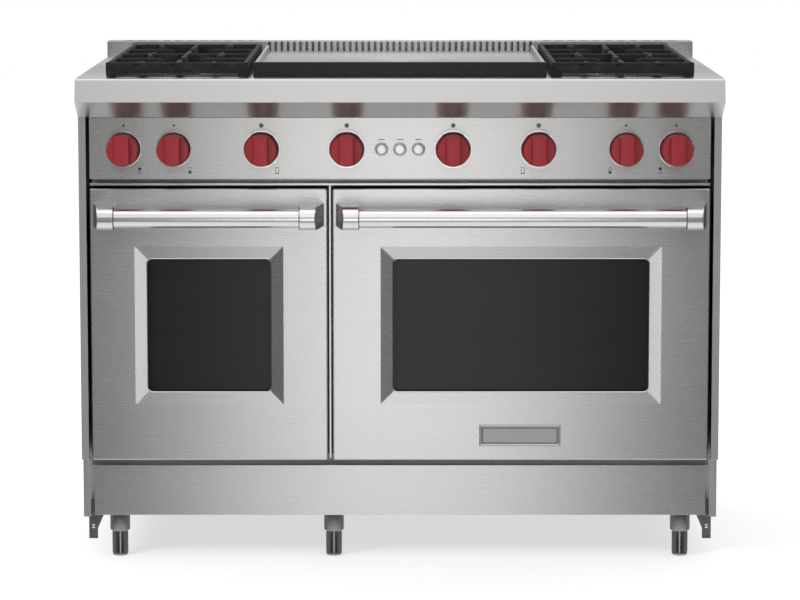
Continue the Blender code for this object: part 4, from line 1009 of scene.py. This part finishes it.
def round_bead(left, right, low, high, depth, bend, radius, steps, sides):
    """A thin round bead that stands upright, `bend` being the middle of its corners."""
    rings = []
    for x, z, turn in corner_steps(left, right, low, high, bend, steps):
        rings.append([(x + cos(turn) * (bend + radius * cos(roll)), depth + radius * sin(roll),
                       z + sin(turn) * (bend + radius * cos(roll))) for roll in turns(sides)])
    return Shape().skin(rings, loop=True)


print("corners can be rounded")

# %% [markdown]
# ## Oven racks
# A rack is bent from round wire: a heavy frame with thinner wires welded across it. Tubes along simple paths
# make it, since a box would never pass for wire.

# %% Oven racks
FRAME_WIRE = 0.0034     # radius of the rack's frame
CROSS_WIRE = 0.0019     # radius of the wires across it
WIRE_PITCH = 0.026
RACK_BEND = 0.014       # of the frame's corners


def oven_rack(size):
    low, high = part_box(f"{size}_oven_rack")
    z = low.z + FRAME_WIRE
    left, right = low.x + FRAME_WIRE, high.x - FRAME_WIRE
    front, back = low.y + FRAME_WIRE, high.y - FRAME_WIRE
    path = [(x + RACK_BEND * cos(turn), y + RACK_BEND * sin(turn), z)
            for x, y, turn in corner_steps(left, right, front, back, RACK_BEND, 5)]
    shape = Shape().tube(path, FRAME_WIRE, 10, loop=True)
    count = round((right - left) / WIRE_PITCH)
    for step in range(1, count):
        x = left + (right - left) * step / count
        shape.tube([(x, front, z + FRAME_WIRE * 0.6), (x, back, z + FRAME_WIRE * 0.6)], CROSS_WIRE, 8)
    for share in (0.32, 0.68):
        y = front + (back - front) * share
        shape.tube([(left, y, z - 0.0006), (right, y, z - 0.0006)], CROSS_WIRE * 1.3, 8)
    piece(f"{size}_wire_rack", shape, bright_wire, f"{size}_rack", [f"{size}_oven_rack"])
    print(size, "rack with", count - 1, "cross wires")


for size in SIZES:
    oven_rack(size)

# %% [markdown]
# ## Plate on the large door
# A small bevelled plate sits low on the large door. It is left blank. Skinning a few outlines from the door
# outward and back in gives the rim, the bevel and the flat field in one shell, and a thin dark line is laid
# round the field.

# %% Plate on the large door
PLATE_X = 0.2288
PLATE_Z = 0.2480
PLATE_WIDTH = 0.155
PLATE_HEIGHT = 0.042


def plate_outlines(levels):
    """Outlines of the plate. A level is a place in front of the door and an inset from the plate's edge."""
    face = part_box("large_door_skin")[0].y
    return [[(PLATE_X + u * (PLATE_WIDTH / 2 - inset), face + y, PLATE_Z + v * (PLATE_HEIGHT / 2 - inset))
             for u, v in ((-1, -1), (1, -1), (1, 1), (-1, 1))] for y, inset in levels]


plate = [(0.0, 0.0), (-0.0026, 0.0004), (-0.0034, 0.0016), (-0.0034, 0.0030), (-0.0022, 0.0044),
         (-0.0022, 0.0060)]
border = [(0.0004, 0.0058), (-0.0026, 0.0058), (-0.0026, 0.0072), (0.0004, 0.0072)]
piece("door_plate", Shape().skin(plate_outlines(plate)), plate_steel, "large_door", edge=0.0003)
piece("door_plate_line", Shape().skin(plate_outlines(border), loop=True), black_plastic, "large_door")
print("blank plate on the large door")

# %% [markdown]
# ## Oven seals and window lips
# A black seal runs round the mouth of each oven, so that heat stays in when the door is shut. On the door's
# front, the steel frame ends in a bright turned edge round the glass. Both are thin round beads.

# %% Oven seals and window lips
SEAL_SIDE = 0.027       # from the oven's side to its seal
SEAL_END = 0.018        # and from its top or floor
SEAL_BEND = 0.018
SEAL_RADIUS = 0.0024
LIP_BEND = 0.0110
LIP_RADIUS = 0.0009
LIP_LAP = 0.0080        # how far the glass reaches under the frame


def oven_seal(size):
    low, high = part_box(f"{size}_oven_liner")
    bead = round_bead(low.x + SEAL_SIDE, high.x - SEAL_SIDE, low.z + SEAL_END, high.z - SEAL_END,
                      low.y - 0.0026, SEAL_BEND, SEAL_RADIUS, 6, 10)
    piece(f"{size}_oven_seal", bead, black_plastic, "range_body")


def window_lip(size):
    low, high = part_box(f"{size}_door_glass")
    inset = LIP_LAP + LIP_RADIUS
    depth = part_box(f"{size}_door_skin")[0].y + 0.0034
    bead = round_bead(low.x + inset, high.x - inset, low.z + inset, high.z - inset, depth,
                      LIP_BEND - LIP_RADIUS, LIP_RADIUS, 8, 8)
    piece(f"{size}_window_lip", bead, chrome, f"{size}_door")


for size in SIZES:
    oven_seal(size)
    window_lip(size)
print("2 seals and 2 window lips")

# %% [markdown]
# ## Floor and reflections
# Brushed steel shows what stands in front of it. The sheets here carry one wide soft light near the camera
# that fades out to both sides, a brighter light above for the leaning rail and the handles, and a pale floor.
# Cards that only reflections see give that, as a studio does with paper and cloth.

# %% Floor and cards
def flat_sheet(name, corners, finish):
    mesh = bpy.data.meshes.new(name)
    mesh.from_pydata(corners, [], [(0, 1, 2, 3)])
    mesh.materials.append(finish)
    obj = bpy.data.objects.new(name, mesh)
    bpy.context.scene.collection.objects.link(obj)
    return obj


def pale_floor(reach, grey, glow):
    finish = Finish("pale_floor")
    shade = finish.mix(finish.noise(1.2, 2.0, 0.5), (0.97 * grey,) * 3, (grey,) * 3)
    paper = finish.surface(Base_Color=shade, Roughness=0.9, Emission_Color=(grey, grey, grey, 1.0),
                           Emission_Strength=glow)
    corners = [(-reach, -reach, 0), (reach, -reach, 0), (reach, reach, 0), (-reach, reach, 0)]
    flat_sheet("floor", corners, paper).visible_glossy = False


def card(name, place, width, height, strength, fade):
    """A glowing card that only reflections see. Its light falls off between two distances in X."""
    finish = Finish(name)
    sideways = abs(finish.apart(finish.place)["X"])
    level = finish.between(sideways, *fade, strength, 0.0, curve="SMOOTHSTEP")
    glow = finish.close(finish.add("ShaderNodeEmission", {}, {"Strength": level})["Emission"])
    glow.cycles.emission_sampling = "NONE"
    half_w, half_h = width / 2, height / 2
    corners = [(-half_w, 0, -half_h), (half_w, 0, -half_h), (half_w, 0, half_h), (-half_w, 0, half_h)]
    obj = flat_sheet(name, corners, glow)
    obj.location = place
    for ray in ("camera", "diffuse", "transmission", "volume_scatter", "shadow"):
        setattr(obj, f"visible_{ray}", False)


pale_floor(reach=14.0, grey=0.62, glow=0.85)
card("front_card", (0.0, -6.9, -0.30), 2.9, 3.0, 1.72, fade=(0.28, 1.15))
card("upper_card", (0.0, -5.0, 5.40), 9.0, 6.8, 1.22, fade=(0.0, 3.6))
print("floor and two cards")

# %% [markdown]
# ## Lights
# The knobs, the enamel and the floor are not mirrors and need light of their own. The key light comes from
# the left, so that each knob's bar shades its right side; a weaker one fills from the right, and one behind
# lifts the backguard. Reflections don't see them, because the cards are there for that.

# %% Lights
def soft_light(name, place, aim, size, power):
    data = bpy.data.lights.new(name, "AREA")
    data.shape = "RECTANGLE"
    data.size, data.size_y = size
    data.energy = power
    light = bpy.data.objects.new(name, data)
    light.location = place
    run, rise, climb = (aim[axis] - place[axis] for axis in range(3))
    flat = sqrt(run * run + rise * rise)
    light.rotation_euler = (pi / 2 - atan2(-climb, flat), 0.0, atan2(-run, rise))
    light.visible_glossy = False
    bpy.context.scene.collection.objects.link(light)


soft_light("key_light", (-3.4, -3.4, 2.6), (0.0, 0.0, 0.6), (1.3, 1.3), 95.0)
soft_light("fill_light", (1.6, -3.6, 2.4), (0.0, 0.0, 0.5), (2.0, 2.0), 14.0)
soft_light("back_light", (0.0, 3.0, 3.2), (0.0, 0.0, 0.5), (3.0, 1.6), 25.0)
print("3 soft lights")

# %% [markdown]
# ## The room
# The background is white where it is looked at. Reflections see something else, a dim room with a pale floor
# and a bright ceiling, with lighter walls behind the range and far out to its sides. What is left is an even
# grey light on everything dull.

# %% The room
ROOM = ((0.0, 0.95), (0.17, 0.90), (0.27, 0.12), (0.42, 0.07), (0.56, 0.08), (0.66, 0.60), (0.80, 1.3),
        (1.0, 1.5))     # brightness from straight down to straight up
WHITE = (1.0, 1.0, 1.0)
DULL_LIGHT = (0.75, 0.75, 0.76)


def room(name):
    world = bpy.data.worlds.new(name)
    world.use_nodes = True
    graph = Graph(world.node_tree)
    rays = graph.add("ShaderNodeLightPath")
    way = graph.apart(graph.add("ShaderNodeTexCoord")["Generated"])
    height = graph.between(way["Z"], -1.0, 1.0, 0.0, 1.0)
    walls = graph.add("ShaderNodeValToRGB", {"stops": ROOM}, {"Fac": height})["Color"]
    behind = graph.between(way["Y"], 0.0, 0.8, 0.0, 0.38)
    beside = graph.between(abs(way["X"]), 0.70, 0.95, 0.0, 0.25)
    mirrored = graph.mix(behind.math("MAXIMUM", behind, beside), walls, WHITE)
    lit = graph.mix(rays["Is Glossy Ray"], DULL_LIGHT, mirrored)
    seen = graph.mix(rays["Is Camera Ray"], lit, WHITE)
    background = graph.add("ShaderNodeBackground", {}, {"Color": seen})["Background"]
    graph.add("ShaderNodeOutputWorld", {}, {"Surface": background})
    bpy.context.scene.world = world
    print("room", name, "has", len(graph.tree.nodes), "nodes")


room("studio")
